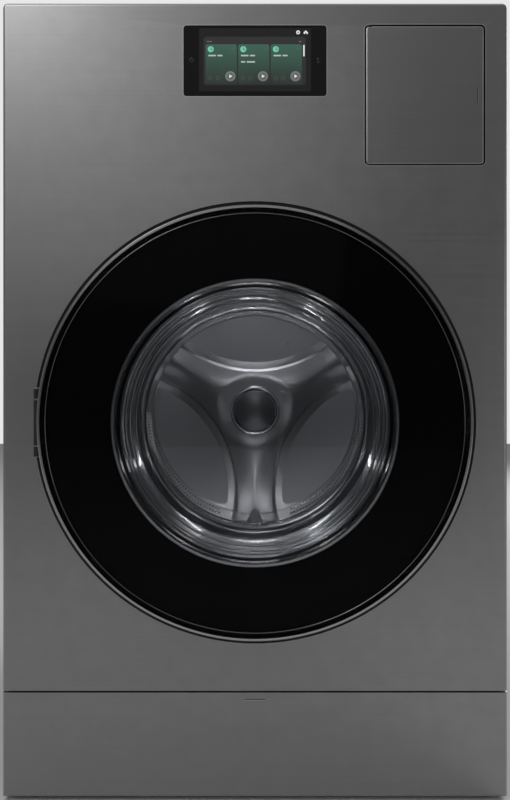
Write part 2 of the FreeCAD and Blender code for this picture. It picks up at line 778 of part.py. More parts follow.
def make_slides():
    """Three-part drawer slides: a channel on the pan, a middle rail, and a rail on the tray's wall."""
    rail_z = tray_low + s.tray_height / 2
    start, length = 30, s.rail_depth
    channels, middles, inners = [], [], []
    for side, x in ((-1, tray_left), (1, tray_right)):
        sides = "left" if side < 0 else "right"

        def bar(name, x0, x1, half_high, y0, y1):
            a, b = (x + x0, x + x1) if side > 0 else (x - x1, x - x0)
            return block(f"{name}_{sides}", a, front + y0, rail_z - half_high, b, front + y1,
                         rail_z + half_high)

        high = s.rail_height / 2
        skin = bar("channel_skin", 8, 20, high, start, start + length)
        core = bar("channel_core", 7, 18.5, high - 1.5, start - 1, start + length + 1)
        channel = cut(f"channel_{sides}", skin, core)
        a, b = (x + 18.5, x + 20) if side > 0 else (x - 20, x - 18.5)
        legs = [
            block(f"channel_leg_{sides}_{k}", a, front + y, s.pan_height + s.panel_sheet, b,
                  front + y + 40, rail_z - high + 1)
            for k, y in enumerate((70, 330))
        ]
        channels.append(fuse(f"slide_channel_{sides}", channel, *legs))
        skin = bar("middle_skin", 5, 17.5, high - 2.5, start, start + length)
        core = bar("middle_core", 4, 16, high - 4, start - 1, start + length + 1)
        middles.append(cut(f"middle_{sides}", skin, core))
        inners.append(bar("inner", 0, 15, high - 6, start - 4, start + length - 4))
    group("slide_channels", *channels)
    group("slide_middle_rails", *middles)
    group("slide_inner_rails", *inners)


# --- Door: everything here turns with it, apart from the seat, the lock, the bracket and the pin ---
hook_x = s.door_radius - 37


def make_door_seat():
    """The dark dish behind the door, with a collar for the seal and slots for the hinge and the hook."""
    deep = s.seat_depth
    p = Piece("door_seat", 0, front, door_z)
    rim = s.seat_radius - 1.5
    collar = 212
    profile = [(1.2, rim - 2), (1.2, rim + 8), (3.2, rim + 8), (3.2, rim), (deep + 2, rim)]
    profile += [(deep + 2, collar), (deep + 16, collar), (deep + 16, collar - 4), (deep, collar - 4)]
    profile += [(deep, rim - 2)]
    p.turn(profile)
    slots = [rect(hook_x - 7, -12, hook_x + 12, 12)]
    axis = -(s.door_radius + s.hinge_clear)
    spread = s.hinge_spread
    for side in (-1, 1):
        slots.append(rect(axis - 4, side * (spread - 6.5) - 7.5, axis + 4, side * (spread - 6.5) + 7.5))
    p.pocket("front", slots, deep - 1, deep + 3)


def make_hinge():
    axis = -(s.door_radius + s.hinge_clear)
    out = -s.hinge_forward
    spread = s.hinge_spread
    knuckle = 4.5
    bore = s.hinge_pin_radius + s.fit_clearance
    bracket = Piece("door_hinge_bracket", axis, front, door_z)
    bracket.pad("front", [rect(-9, -spread - 16, 60, spread + 16)], s.seat_depth + 2.2, s.seat_depth + 5.2)
    ends = ((-spread, -spread + 13), (spread - 13, spread))
    for start, end in ends:
        bracket.pad("top", [rect(-1.5, out, 3, s.seat_depth + 3)], start, end)
        bracket.pad("top", [circle(0, out, knuckle)], start, end)
        bracket.pocket("top", [circle(0, out, bore)], start - 1, end + 1)
    bracket.fillet(6, along("y", *({"x": 60, "z": side * (spread + 16)} for side in (-1, 1))))

    foot = door_z - spread - 1
    pin = rod("hinge_pin_stem", "z", axis, front + out, foot, s.hinge_pin_radius, spread * 2 + 2)
    head = rod("hinge_pin_head", "z", axis, front + out, door_z + spread + 0.1, s.hinge_pin_radius + 1.5, 2)
    part("door_hinge_pin", fuse("door_hinge_pin", pin, head))

    half_arm = spread - 15
    arm = Piece("door_hinge_arm", axis, front, door_z)
    arm.pad("top", [rect(0, out + 1.5, 42, out + 4.5)], -half_arm, half_arm)
    arm.pad("top", [circle(0, out, knuckle)], -half_arm, half_arm)
    arm.pad("top", [rect(38, out - 7.6, 42, out + 4.5)], -half_arm, half_arm)
    arm.pocket("top", [circle(0, out, bore)], -half_arm - 1, half_arm + 1)


def make_door():
    rim = s.door_radius
    face = -s.door_proud
    trim = rim - s.door_trim
    window = s.window_radius

    ring = Piece("door_trim_ring", 0, front, door_z)
    profile = [(face, trim + 0.2), (face, rim - 1.4), (face + 1.4, rim), (face + 12, rim)]
    profile += [(face + 12, trim + 0.2)]
    ring.turn(profile)

    glass = Piece("door_outer_glass", 0, front, door_z)
    near, far = face + 1, face + 1 + s.glass_sheet
    glass.turn([(near, 0), (near, trim - 4), (near + 0.7, trim - 0.3), (far, trim - 0.3), (far, 0)])

    back_of_glass = face + 1 + s.glass_sheet + 0.2
    clamp = -12
    rim_ring = Piece("door_window_ring", 0, front, door_z)
    profile = [(back_of_glass, window - 2), (back_of_glass, window + 1)]
    profile += [(clamp - 0.1, window + 1), (clamp - 0.1, window - 2)]
    rim_ring.turn(profile)

    frame = Piece("door_frame", 0, front, door_z)
    wall = 3
    step = face + 12.2
    rear = 10
    profile = [(back_of_glass, window + 2), (back_of_glass, trim - 0.2), (step, trim - 0.2), (step, rim - 1)]
    profile += [(rear, rim - 1), (rear, rim - 1 - wall), (step + wall, rim - 1 - wall)]
    profile += [(step + wall, trim - 0.2 - wall), (back_of_glass + wall, trim - 0.2 - wall)]
    profile += [(back_of_glass + wall, window + 2)]
    frame.turn(profile)
    reach = s.hinge_spread - 14
    out = -s.hinge_forward
    frame.pocket("side", [rect(out + 0.6, -reach, out + 5.4, reach)], -rim - 2, -rim + 24)

    cover = Piece("door_rear_cover", 0, front, door_z)
    profile = [(rear + 0.1, rim - 1), (rear + wall - 1, rim - 1), (rear + wall, rim - 3)]
    profile += [(rear + wall, window - 0.5), (-5.9, window - 0.5), (-5.9, window + 2.5)]
    profile += [(rear + 0.1, window + 2.5)]
    cover.turn(profile)
    cover.pocket("front", [rect(hook_x - 2.05, -8.05, hook_x + 2.05, 8.05)], rear - 1, rear + wall + 1)

    bowl = Piece("door_bowl", 0, front, door_z)
    end, deep, thick = window - s.bowl_taper, s.bowl_depth, s.bowl_wall
    profile = [(clamp, window + 9), (-6, window + 9), (-6, window - 3), (deep - 12, end), (deep - 4, end - 4)]
    profile += [(deep, end - 14), (deep, 0), (deep - thick, 0), (deep - thick, end - 17)]
    profile += [(deep - 4 - thick, end - 9), (deep - 14, end - thick), (-6, window - 3 - thick - 0.5)]
    profile += [(clamp, window - 8)]
    bowl.turn(profile)

    hook = Piece("door_latch_hook", 0, front, door_z)
    barb = [(hook_x - 2, rear - 8), (hook_x + 2, rear - 8), (hook_x + 2, 28), (hook_x + 5, 30)]
    barb += [(hook_x + 1, 36), (hook_x - 2, 36)]
    hook.pad("top", [outline(barb)], -8, 8)
    foot = [(hook_x - 12, rear - 3), (hook_x + 12, rear - 3), (hook_x + 12, rear), (hook_x - 12, rear)]
    hook.pad("top", [outline(foot)], -14, 14)

    near = s.seat_depth + 2.2
    lock = Piece("door_lock", 0, front, door_z)
    lock.pad("front", [rect(hook_x - 14, -36, hook_x + 20, 36)], near, near + 44)
    lock.fillet(3, along("y"))
    lock.pocket("front", [rect(hook_x - 7, -12, hook_x + 12, 12)], near - 1, near + 26)
    lock.pad("front", [rect(hook_x - 8, 22, hook_x + 10, 32)], near + 43, near + 52)


def make_gasket():
    """The rubber bellows from the seat's collar to the tub's collar."""
    near = s.seat_depth - 0.7
    tub = s.tub_mouth
    reach = s.tub_front
    outer = [(near, 207.8), (30, 207.8), (30, 204.6), (19, 204.6), (19, 200), (60, 196), (76, 193)]
    outer += [(88, 208), (100, 209), (112, 195), (122, 195), (132, 206), (reach - 12, 210), (reach + 4, 210)]
    inner = [(reach + 4, tub + 4.3), (reach - 11, tub + 4.3), (134, 202.5), (124, 191), (110, 191)]
    inner += [(98, 205), (90, 204.5), (78, 189), (60, 192), (near, 196)]
    p = Piece("door_gasket", 0, front, door_z)
    p.turn(outer + inner)


# --- Tub, drum and drive. All of it hangs on the springs and stands on the dampers. ---
DAMPER_X = 312
DAMPER_SPOTS = (210, 560)
SPRING_X = 235
SPRING_Y = 370
SPRING_RADIUS = 12
tub_inside = s.drum_radius + s.tub_clearance
tub_outside = tub_inside + s.tub_wall
tub_joint = (s.tub_front + s.tub_back) / 2 - 14
ear_top = drum_z + tub_outside - 96


def make_tub():
    start = s.tub_front + 5
    wall = 7
    inside, outside = tub_inside, tub_outside
    p = Piece("tub_front", 0, front, drum_z)
    profile = [(start, s.tub_mouth), (start, outside - 14), (start + 14, outside), (tub_joint - 8, outside)]
    profile += [(tub_joint - 8, outside + 8), (tub_joint, outside + 8), (tub_joint, inside)]
    profile += [(start + 18, inside), (start + wall, inside - 11), (start + wall, s.tub_mouth)]
    p.turn(profile)
    lip = s.tub_mouth
    collar = [circle(0, -s.drum_lift, lip + 4), circle(0, -s.drum_lift, lip)]
    p.pad("front", collar, s.tub_front - 10, start + 4)
    p.pocket("front", [circle(0, -s.drum_lift, lip)], start - 1, start + wall + 1)
    ears = [
        rect(side * SPRING_X - 9, ear_top - drum_z - 16, side * SPRING_X + 9, ear_top - drum_z)
        for side in (-1, 1)
    ]
    p.pad("front", ears, SPRING_Y - 9, SPRING_Y + 9)
    add_damper_lugs(p, DAMPER_SPOTS[0])

    rear = Piece("tub_rear", 0, front, drum_z)
    end = s.tub_back
    hub = 42
    seat = 26
    profile = [(tub_joint + 0.2, inside), (tub_joint + 0.2, outside + 8), (tub_joint + 8, outside + 8)]
    profile += [(tub_joint + 8, outside), (end - 10, outside), (end + 4, outside - 14), (end + 4, hub)]
    profile += [(end + 24, hub), (end + 24, seat), (end - 3, seat), (end - 3, inside - 12)]
    profile += [(end - 14, inside)]
    rear.turn(profile)
    rear.pad("front", [rect(80, -3, outside - 20, 3)], end + 3, end + 14)
    rear.around(12)
    add_damper_lugs(rear, DAMPER_SPOTS[1])


def add_damper_lugs(p, y):
    low = -s.drum_radius / 2
    for side in (-1, 1):
        near, far = side * 258, side * (DAMPER_X + 7)
        p.pad("front", [rect(min(near, far), low, max(near, far), low + 14)], y - 9, y + 9)


def make_counterweights():
    """Two cast sectors bolted to the tub's front, above and below the door's opening."""
    near, far = s.tub_front - 50, s.tub_front + 4.9
    outer, inner = tub_outside - 6, 219
    solids = []
    for number, side in enumerate((-1, 1)):
        ring = tube(f"weight_ring_{number}", "y", 0, front + near, drum_z, outer, inner, far - near)
        start, end = (drum_z + 90, drum_z + 400) if side > 0 else (drum_z - 400, drum_z - 120)
        keep_box = block(f"weight_box_{number}", -400, front + near - 1, start, 400, front + far + 1, end)
        common = doc.addObject("Part::Common", f"weight_{number}")
        common.Base = ring
        common.Tool = keep_box
        solids.append(common)
    group("tub_counterweights", *solids)


def make_springs():
    low, high = ear_top + 2, shelf - 2
    coils = []
    for side in (-1, 1):
        name = "left" if side < 0 else "right"
        wire = 2
        helix = doc.addObject("Part::Helix", f"spring_path_{name}")
        bind(helix, {"Height": high - low - 2 * wire, "Pitch": (high - low - 2 * wire) / 9})
        bind(helix, {"Radius": SPRING_RADIUS - wire})
        profile = doc.addObject("Part::Circle", f"spring_wire_{name}")
        profile.Radius = wire
        profile.Placement = FreeCAD.Placement(
            Vector(SPRING_RADIUS - wire, 0, 0), FreeCAD.Rotation(Vector(1, 0, 0), 90))
        coil = doc.addObject("Part::Sweep", f"spring_{name}")
        coil.Sections = [profile]
        coil.Spine = (helix, [])
        coil.Solid = True
        coil.Frenet = True
        place(coil, side * SPRING_X, front + SPRING_Y, low + wire)
        coils.append(coil)
    group("tub_springs", *coils)


def make_dampers():
    base = s.pan_height + s.panel_sheet
    lug = drum_z - s.drum_radius / 2
    cylinders, rods = [], []
    for side in (-1, 1):
        for number, y in enumerate(DAMPER_SPOTS):
            name = f"{'left' if side < 0 else 'right'}_{number}"
            x, yy = side * DAMPER_X, front + y
            skin = rod(f"damper_skin_{name}", "z", x, yy, base, 16, 150)
            hollow = rod(f"damper_hollow_{name}", "z", x, yy, base + 5, 13, 140)
            bore = rod(f"damper_bore_{name}", "z", x, yy, base + 140, s.fit_clearance + 5, 20)
            cylinders.append(cut(f"damper_cylinder_{name}", skin, hollow, bore))
            stem = rod(f"damper_stem_{name}", "z", x, yy, base + 50, 5, lug - base - 50)
            piston = rod(f"damper_piston_{name}", "z", x, yy, base + 50, 12.9, 22)
            rods.append(fuse(f"damper_rod_{name}", stem, piston))
    group("damper_cylinders", *cylinders)
    group("damper_rods", *rods)


def make_drum():
    radius, sheet_, mouth = s.drum_radius, s.drum_sheet, s.drum_mouth
    near, far = s.drum_front, s.drum_back
    p = Piece("drum", 0, front, drum_z)
    profile = [(near, mouth), (near - 2, mouth + 3), (near, mouth + 6), (near + 37, radius + sheet_)]
    profile += [(far - 28, radius + sheet_), (far - 28, radius), (near + 37.5, radius)]
    profile += [(near + 3, mouth + 5), (near + 2, mouth)]
    p.turn(profile)

    plate = Piece("drum_back", 0, front, drum_z)
    flat = radius - 32
    profile = [(far - 27.9, radius), (far - 27.9, radius + sheet_), (far - 26, radius + sheet_)]
    profile += [(far + sheet_, flat + 1), (far + sheet_, 0), (far, 0), (far, flat)]
    plate.turn(profile)
    # A raised three-armed star: what is left of a raised disc between three scooped circles.
    raised = 11
    away = flat * 1.55
    scoop = flat * 1.151
    plate.pad("front", [circle(0, 0, flat - 6)], far - raised, far + 0.5)
    for number in range(3):
        angle = math.radians(90 + 120 * number)
        hollow = [circle(away * math.cos(angle), away * math.sin(angle), scoop)]
        plate.pocket("front", hollow, far - raised - 1, far)
    plate.fillet(6, lambda e: flat_at(y=far - raised)(e))
    plate.pad("front", [circle(0, 0, 48)], far - raised - 4, far - raised + 2)
    plate.pocket("front", [circle(0, 0, 40)], far - raised - 5, far - raised - 1.5)

    lifters = []
    for number in range(3):
        lifter = Piece(f"lifter_{number}", 0, front, drum_z)
        NODES.pop(f"lifter_{number}")
        # The foot's edges follow the drum's wall: sag is how far a round wall rises 34 to each side.
        sag = size(34 * 34 / 2) / radius
        low, high = -radius + sag + 0.06, -radius + s.lifter_height
        section = [(-34, low), (34, low), (22, low + 10), (9, high), (-9, high), (-22, low + 10)]
        lifter.pad("front", [outline(section)], near + 52, far - 42)
        lifter.fillet(5, along("y", *({"x": side * 9, "z": high} for side in (-1, 1))))
        lifter.body.Placement = FreeCAD.Placement(Vector(), FreeCAD.Rotation(Vector(0, 1, 0), 120 * number))
        place(lifter.body, 0, front, drum_z)
        lifters.append(lifter.body)
    group("drum_lifters", *lifters)

    # The cast spider carries the drum's back on the shaft.
    spider = Piece("drum_spider", 0, front, drum_z)
    start = far + sheet_ + 0.1
    end = s.tub_back + 72
    spider.turn([(start, 0), (start, 48), (start + 18, 40), (start + 18, s.shaft_radius)]
                + [(end, s.shaft_radius), (end, 0)])
    spider.pad("front", [rect(30, -16, radius - 40, 16)], start, start + 14)
    spider.around(3)


def make_drive():
    seat = 26
    start = s.tub_back
    bearings = []
    for number, y in enumerate((start - 2.5, start + 11)):
        ring = tube(f"bearing_ring_{number}", "y", 0, front + y, drum_z, size(seat),
                    s.shaft_radius + s.fit_clearance, 12)
        bearings.append(ring)
    group("shaft_bearings", *bearings)

    stator = Piece("motor_stator", 0, front, drum_z)
    near = start + 24.2
    outer = s.stator_radius
    stator.turn([(near, 46), (near, 96), (near + 30, 96), (near + 30, 62), (near + 10, 62), (near + 10, 46)])
    stator.pad("front", [rect(94, -8, outer - 4, 8)], near + 2, near + 28)
    stator.around(18)
    stator.pad("front", [rect(outer - 4.5, -10, outer - 0.5, 10)], near + 1, near + 29)
    stator.around(18)

    rotor = Piece("motor_rotor", 0, front, drum_z)
    base = near + 38
    bore = s.shaft_radius + s.fit_clearance
    rotor.turn([(base, bore), (base, outer + 4), (near - 1, outer + 4), (near - 1, outer + 12)]
               + [(base + 4, outer + 12), (base + 4, 30), (base + 9, 28), (base + 9, bore)])
    rotor.pocket("front", [circle(80, 0, 14)], base - 1, base + 5)
    rotor.around(8)


# --- Heat pump, blower, pump, valves ---
def make_heat_pump():
    deck = Piece("heat_pump_base", 0, front, 0)
    wide = half - 6
    near, far = 64, s.tub_back + 60
    deck.pad("top", [rect(-wide, near, wide, far)], shelf, shelf + 24)
    deck.fillet(12, along("z"))
    deck.shell(2, flat_at(z=shelf + 24))

    deck_top = shelf + 2
    room = top - s.top_skirt - 8 - deck_top
    x, y = -half + 118, front + 600
    can = Piece("compressor", x, y, deck_top)
    tall = room * 0.86
    profile = [(0, 4), (44, 4), (52, 12), (56, 30), (56, tall - 40), (44, tall - 14), (20, tall), (0, tall)]
    can.turn(profile, axis="V_Axis", plane="front")
    can.pad("top", [circle(0, 0, 70)], 0, 5)
    can.pad("top", [circle(70, 0, 17)], 2, tall * 0.7)

    solids = []
    for number, start in enumerate((-170, 0)):
        core = block(f"exchanger_core_{number}", size(start), front + 300, deck_top, size(start) + 150,
                     front + 470, deck_top + room * 0.78)
        slits = [
            block(f"exchanger_slit_{number}_{k}", size(start) + 6 + k * 14, front + 299, deck_top + 8,
                  size(start) + 12 + k * 14, front + 471, deck_top + room * 0.78 - 8)
            for k in range(10)
        ]
        finned = cut(f"exchanger_fins_{number}", core, *slits)
        pipes = [
            rod(f"exchanger_pipe_{number}_{a}_{b}", "x", size(start) - 8, front + 330 + a * 55,
                deck_top + 30 + b * 45, 5, 166)
            for a in range(3)
            for b in range(3)
        ]
        solids.append(fuse(f"exchanger_{number}", finned, *pipes))
    group("heat_exchangers", *solids)

    bx, bz = half - 160, deck_top + room / 2
    wheel_radius = s.blower_radius
    housing = Piece("blower_housing", bx, front, bz)
    start = 500
    wide = 96
    shell_radius = wheel_radius + 16
    outlet = room / 2 - 4
    housing.pad("front", [circle(0, 0, shell_radius)], start, start + wide)
    housing.pad("front", [rect(-shell_radius, 0, -28, outlet)], start, start + wide)
    housing.pocket("front", [circle(0, 0, shell_radius - 3)], start + 3, start + wide - 3)
    housing.pocket("front", [rect(3 - shell_radius, 0, -31, outlet + 1)], start + 3, start + wide - 3)
    housing.pocket("front", [circle(0, 0, wheel_radius - 14)], start - 1, start + 4)
    housing.pocket("front", [circle(0, 0, 4 + s.fit_clearance)], start + wide - 4, start + wide + 1)
    housing.pad("front", [rect(-60, deck_top - bz, 60, deck_top - bz + 3)], start, start + wide)
    for rib in (start + 8, start + wide - 14):
        housing.pad("front", [rect(-34, deck_top - bz, 34, 12 - shell_radius)], rib, rib + 5)

    wheel = Piece("blower_wheel", bx, front, bz)
    far = start + wide - 8
    wheel.pad("front", [circle(0, 0, wheel_radius)], far - 4, far)
    wheel.pad("front", [rect(wheel_radius - 16, -1.25, wheel_radius - 1, 1.25)], start + 12, far - 3)
    wheel.around(20)
    wheel.pad("front", [circle(0, 0, wheel_radius), circle(0, 0, wheel_radius - 17)], start + 9, start + 13)
    wheel.pad("front", [circle(0, 0, 14)], far - 30, far - 3)
    wheel.pad("front", [circle(0, 0, 4)], far - 1, start + wide + 14)


PUMP_X = 47


def make_pump():
    """The drain pump stands on the pan behind the drawer's left end. Its cap unscrews from the front."""
    x, z = -half + PUMP_X, s.pan_height + s.pan_wall + 33
    bore = 27
    body = Piece("drain_pump", x, front, z)
    body.turn([(44, bore), (44, 34), (90, 34), (96, 40), (130, 40), (136, 30), (170, 30), (170, 0), (112, 0)]
              + [(112, bore)])
    body.pad("front", [rect(-24, s.pan_height + s.panel_sheet - z, 24, -28)], 60, 84)
    body.pad("front", [circle(20, 34, 12)], 102, 124)

    cap = Piece("debris_filter", x, front, z)
    cap.turn([(30, 0), (30, 31), (33, 34), (43.7, 34), (43.7, bore - 1), (60, bore - 1), (60, bore - 4)]
             + [(44, bore - 4), (44, 0)])
    cap.pad("front", [rect(-26, -4, 26, 4)], 24, 31)
    cap.fillet(1.5, flat_at(y=24))
    cap.pad("front", [rect(bore - 8, -2, bore - 3, 2)], 43, 96)
    cap.around(8)


def make_connections(screws):
    """Two inlet valves, the drain spigot and the mains gland, with the screws of the rear cover."""
    end = back + s.rear_proud
    shoulder = rear_face + 1.2
    solids = []
    for number, (x, z) in enumerate(inlets):
        body = block(f"valve_body_{number}", x - 22, rear_inside - 60, z - 22,
                     x + 22, rear_inside - 0.3, z + 22)
        coil = rod(f"valve_coil_{number}", "z", x, rear_inside - 34, z + 20, 15, 40)
        neck = rod(f"valve_neck_{number}", "y", x, rear_inside - 2, z, s.inlet_radius + 1.5,
                   shoulder - rear_inside + 2)
        stub = rod(f"valve_stub_{number}", "y", x, rear_inside - 2, z, s.inlet_radius, end - rear_inside + 2)
        bore = rod(f"valve_bore_{number}", "y", x, end - 22, z, s.inlet_bore, 23)
        solids.append(cut(f"valve_{number}", fuse(f"valve_shape_{number}", body, coil, neck, stub), bore))
    group("inlet_valves", *solids)

    x, z = drain
    skin = rod("spigot_skin", "y", x, rear_inside - 40, z, s.drain_radius, end - rear_inside + 40)
    flange = block("spigot_flange", x - 20, rear_inside - 6, z - 20, x + 20, rear_inside - 0.3, z + 20)
    neck = rod("spigot_neck", "y", x, rear_inside - 6, z, s.drain_radius + 1.5, shoulder - rear_inside + 6)
    bore = rod("spigot_bore", "y", x, rear_inside - 41, z, s.drain_radius - 2.5, end - rear_inside + 42)
    spigot = cut("drain_spigot", fuse("spigot_shape", skin, flange, neck), bore)

    x, z = gland
    skin = rod("gland_skin", "y", x, rear_inside - 12, z, GLAND_RADIUS, rear_face - rear_inside + 24)
    nut = doc.addObject("Part::Prism", "gland_nut")
    nut.Polygon = 6
    nut.Placement = FreeCAD.Placement(Vector(), TURNS["y"])
    bind(nut, {"Circumradius": GLAND_RADIUS + 6, "Height": 6})
    place(nut, x, rear_face + 0.2, z)
    bore = rod("gland_bore", "y", x, rear_inside - 13, z, 4.5, rear_face - rear_inside + 26)
    mains = cut("mains_gland", fuse("gland_shape", skin, nut), bore)
    group("rear_fittings", spigot, mains, *screws)


make_front_panel()
make_side_panel("side_panel_left", -1)
make_side_panel("side_panel_right", 1)
make_top_cover()
make_base_pan()
make_feet()
cover_screws = make_rear()
make_controls()
make_filter_door()
make_lint_filter()
make_push_latches()
make_drawer()
make_lids()
make_slides()
make_door_seat()
make_hinge()
make_door()
make_gasket()
make_tub()
make_counterweights()
make_springs()
make_dampers()
make_drum()
make_drive()
make_heat_pump()
make_pump()
make_connections(cover_screws)

# --- Check and write out ---
doc.recompute()
for thing in doc.Objects:
    if "Invalid" in thing.State or "Error" in thing.State:
        raise RuntimeError(f"{thing.Name} ({thing.TypeId}): {thing.State}")
for label, thing in NODES.items():
    shape = thing.Shape
    if shape.isNull() or not shape.isValid() or not shape.Solids:
        raise RuntimeError(f"{label}: its shape is empty or not valid")
    shape.exportStep(f"{OUT}/{label}.step")
print(f"{len(NODES)} sub-parts written")
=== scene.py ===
# %% [markdown]
# # Dressing a washer dryer
# The model that this script loads has every panel, ring, spring and drum in its place. Here those
# pieces get their finishes, and the small repeated details that a solid modeller leaves out are
# added: drum holes, folds of the door seal, screws, vent hoods and the picture on the touch screen.
#
# The machine faces -Y, +Z is up and everything is in metres.

# %% Load the frame
import json
import math
import bpy
import bmesh
from functools import partial
from mathutils import Matrix, Vector


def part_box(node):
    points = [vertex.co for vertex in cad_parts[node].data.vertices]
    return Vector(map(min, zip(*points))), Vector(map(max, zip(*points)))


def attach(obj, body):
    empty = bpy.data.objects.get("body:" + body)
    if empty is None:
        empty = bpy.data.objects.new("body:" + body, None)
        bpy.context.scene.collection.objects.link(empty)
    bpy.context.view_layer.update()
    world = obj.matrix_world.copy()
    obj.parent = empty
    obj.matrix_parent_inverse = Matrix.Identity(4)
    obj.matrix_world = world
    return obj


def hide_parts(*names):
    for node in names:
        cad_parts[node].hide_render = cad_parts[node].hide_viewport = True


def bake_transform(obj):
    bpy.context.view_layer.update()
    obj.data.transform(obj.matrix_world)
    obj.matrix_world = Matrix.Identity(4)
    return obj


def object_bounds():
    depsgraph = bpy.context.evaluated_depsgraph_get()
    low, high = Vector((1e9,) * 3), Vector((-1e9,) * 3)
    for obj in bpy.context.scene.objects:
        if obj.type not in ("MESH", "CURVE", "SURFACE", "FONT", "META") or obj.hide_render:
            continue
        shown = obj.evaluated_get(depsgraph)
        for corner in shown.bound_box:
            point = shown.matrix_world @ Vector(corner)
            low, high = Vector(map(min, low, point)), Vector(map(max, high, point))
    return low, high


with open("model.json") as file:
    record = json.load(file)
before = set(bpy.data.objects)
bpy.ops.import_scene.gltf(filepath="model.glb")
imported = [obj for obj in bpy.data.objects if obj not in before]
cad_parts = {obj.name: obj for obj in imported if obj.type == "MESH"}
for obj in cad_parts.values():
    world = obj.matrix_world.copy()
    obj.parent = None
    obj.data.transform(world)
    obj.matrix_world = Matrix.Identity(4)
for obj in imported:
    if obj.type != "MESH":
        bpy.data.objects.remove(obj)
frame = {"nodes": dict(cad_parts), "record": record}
cad_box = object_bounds()
print("size:", [round(b - a, 4) for a, b in zip(*cad_box)])

# %% [markdown]
# ## Places that many pieces share
# A piece is never placed by eye. Its place comes from the box of the solid that it sits on, so the
# dressing follows if the solids change.

# %% Named places
def centre(node):
    low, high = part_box(node)
    return (low + high) / 2


door_low, door_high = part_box("door_outer_glass")
door_axis = centre("door_outer_glass")
drum_axis = centre("drum")
front_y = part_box("front_panel")[0].y
glass_low, glass_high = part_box("display_glass")
screen = centre("display_glass")
bowl_end_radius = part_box("door_bowl")[1].x - 0.023
print("door centre:", tuple(round(v, 4) for v in door_axis))
print("drum centre:", tuple(round(v, 4) for v in drum_axis))

# %% [markdown]
# ## Building node trees in code
# A shader or a rule for shapes is a tree of nodes and wires. One helper gives a socket its value, or
# a wire when the value is another node's output. With it each material and each rule stays short
# enough to read as a recipe.

# %% Node helpers
def feed(tree, value, socket):
    """Gives an input its value, or wires it to another node's output."""
    if isinstance(value, bpy.types.NodeSocket):
        tree.links.new(value, socket)
    else:
        socket.default_value = value


def add(tree, kind, inputs=None, **settings):
    """Adds a node of the tree's own family, or of the full kind given, and returns its outputs."""
    made = tree.nodes.new(kind if "Node" in kind else tree.bl_idname[:-4] + kind)
    for key, value in settings.items():
        setattr(made, key, value)
    for key, value in (inputs or {}).items():
        feed(tree, value, made.inputs[key])
    return made.outputs


def calc(tree, operation, *values):
    """A Math node. Each value is a number or a socket."""
    return add(tree, "ShaderNodeMath", dict(enumerate(values)), operation=operation)[0]


SOCKET_KINDS = {int: "Int", float: "Float", tuple: "Vector"}


def new_tree(name, family, inputs, outputs):
    """An empty tree with named inputs and their first values, and the sockets of its two ends."""
    tree = bpy.data.node_groups.new(name, family)
    for label, value in inputs.items():
        kind = "NodeSocket" + SOCKET_KINDS[type(value)]
        tree.interface.new_socket(label, in_out="INPUT", socket_type=kind).default_value = value
    for label, kind in outputs.items():
        tree.interface.new_socket(label, in_out="OUTPUT", socket_type="NodeSocket" + kind)
    return tree, tree.nodes.new("NodeGroupInput").outputs, tree.nodes.new("NodeGroupOutput").inputs


def use(tree, group, **values):
    """Places a shader group in a material."""
    return add(tree, "Group", values, node_tree=group)


def spread(tree, mask, low, high, span=(0.0, 1.0)):
    """Turns a mask that runs over a span into values from low to high."""
    limits = {"From Min": span[0], "From Max": span[1], "To Min": low, "To Max": high}
    return add(tree, "ShaderNodeMapRange", {"Value": mask, **limits})[0]


def noise(tree, place, scale, detail, roughness=0.5):
    return add(tree, "TexNoise", {"Vector": place, "Scale": scale, "Detail": detail, "Roughness": roughness})[0]


print("node helpers ready")

# %% [markdown]
# ## Three effects that many finishes share
# Brushed metal is covered in fine scratches that all run one way. The cheapest true picture of them
# is noise squeezed hard across the strokes. Moulded plastic and rubber have a fine even pitting.
# And everything wears pale on its sharp edges and gathers dust on what faces up. Each effect is a
# group that puts out a mask or a height, and the material decides what to do with it.

# %% Shader groups
def make_grain():
    tree, given, out = new_tree("brushed grain", "ShaderNodeTree", {"Strokes": (3.0, 60.0, 600.0), "Clouds": 4.0},
                                {"Stroke": "Float", "Cloud": "Float"})
    place = add(tree, "TexCoord")["Object"]
    stretched = add(tree, "VectorMath", {0: place, 1: given["Strokes"]}, operation="MULTIPLY")[0]
    feed(tree, noise(tree, stretched, 1.0, 4.0, 0.65), out["Stroke"])
    feed(tree, noise(tree, place, given["Clouds"], 2.0), out["Cloud"])
    return tree


def make_pitting():
    tree, given, out = new_tree("moulded pitting", "ShaderNodeTree", {"Size": 900.0, "Clouds": 7.0},
                                {"Pit": "Float", "Cloud": "Float"})
    place = add(tree, "TexCoord")["Object"]
    pits = add(tree, "TexVoronoi", {"Vector": place, "Scale": given["Size"], "Randomness": 1.0}, feature="SMOOTH_F1")
    feed(tree, pits["Distance"], out["Pit"])
    feed(tree, noise(tree, place, given["Clouds"], 3.0), out["Cloud"])
    return tree


def make_age():
    tree, given, out = new_tree("edges and dust", "ShaderNodeTree", {"Wear": 0.5, "Dust": 0.3},
                                {"Edge": "Float", "Dust": "Float"})
    place = add(tree, "TexCoord")["Object"]
    about = add(tree, "NewGeometry")
    sharp = spread(tree, about["Pointiness"], 0.0, 1.0, (0.515, 0.60))
    edge = calc(tree, "MULTIPLY", sharp, noise(tree, place, 38.0, 5.0))
    feed(tree, calc(tree, "MULTIPLY", edge, given["Wear"]), out["Edge"])
    up = spread(tree, add(tree, "SeparateXYZ", {0: about["Normal"]})["Z"], 0.0, 1.0, (0.5, 1.0))
    dust = calc(tree, "MULTIPLY", up, noise(tree, place, 9.0, 6.0, 0.7))
    feed(tree, calc(tree, "MULTIPLY", dust, given["Dust"]), out["Dust"])
    return tree


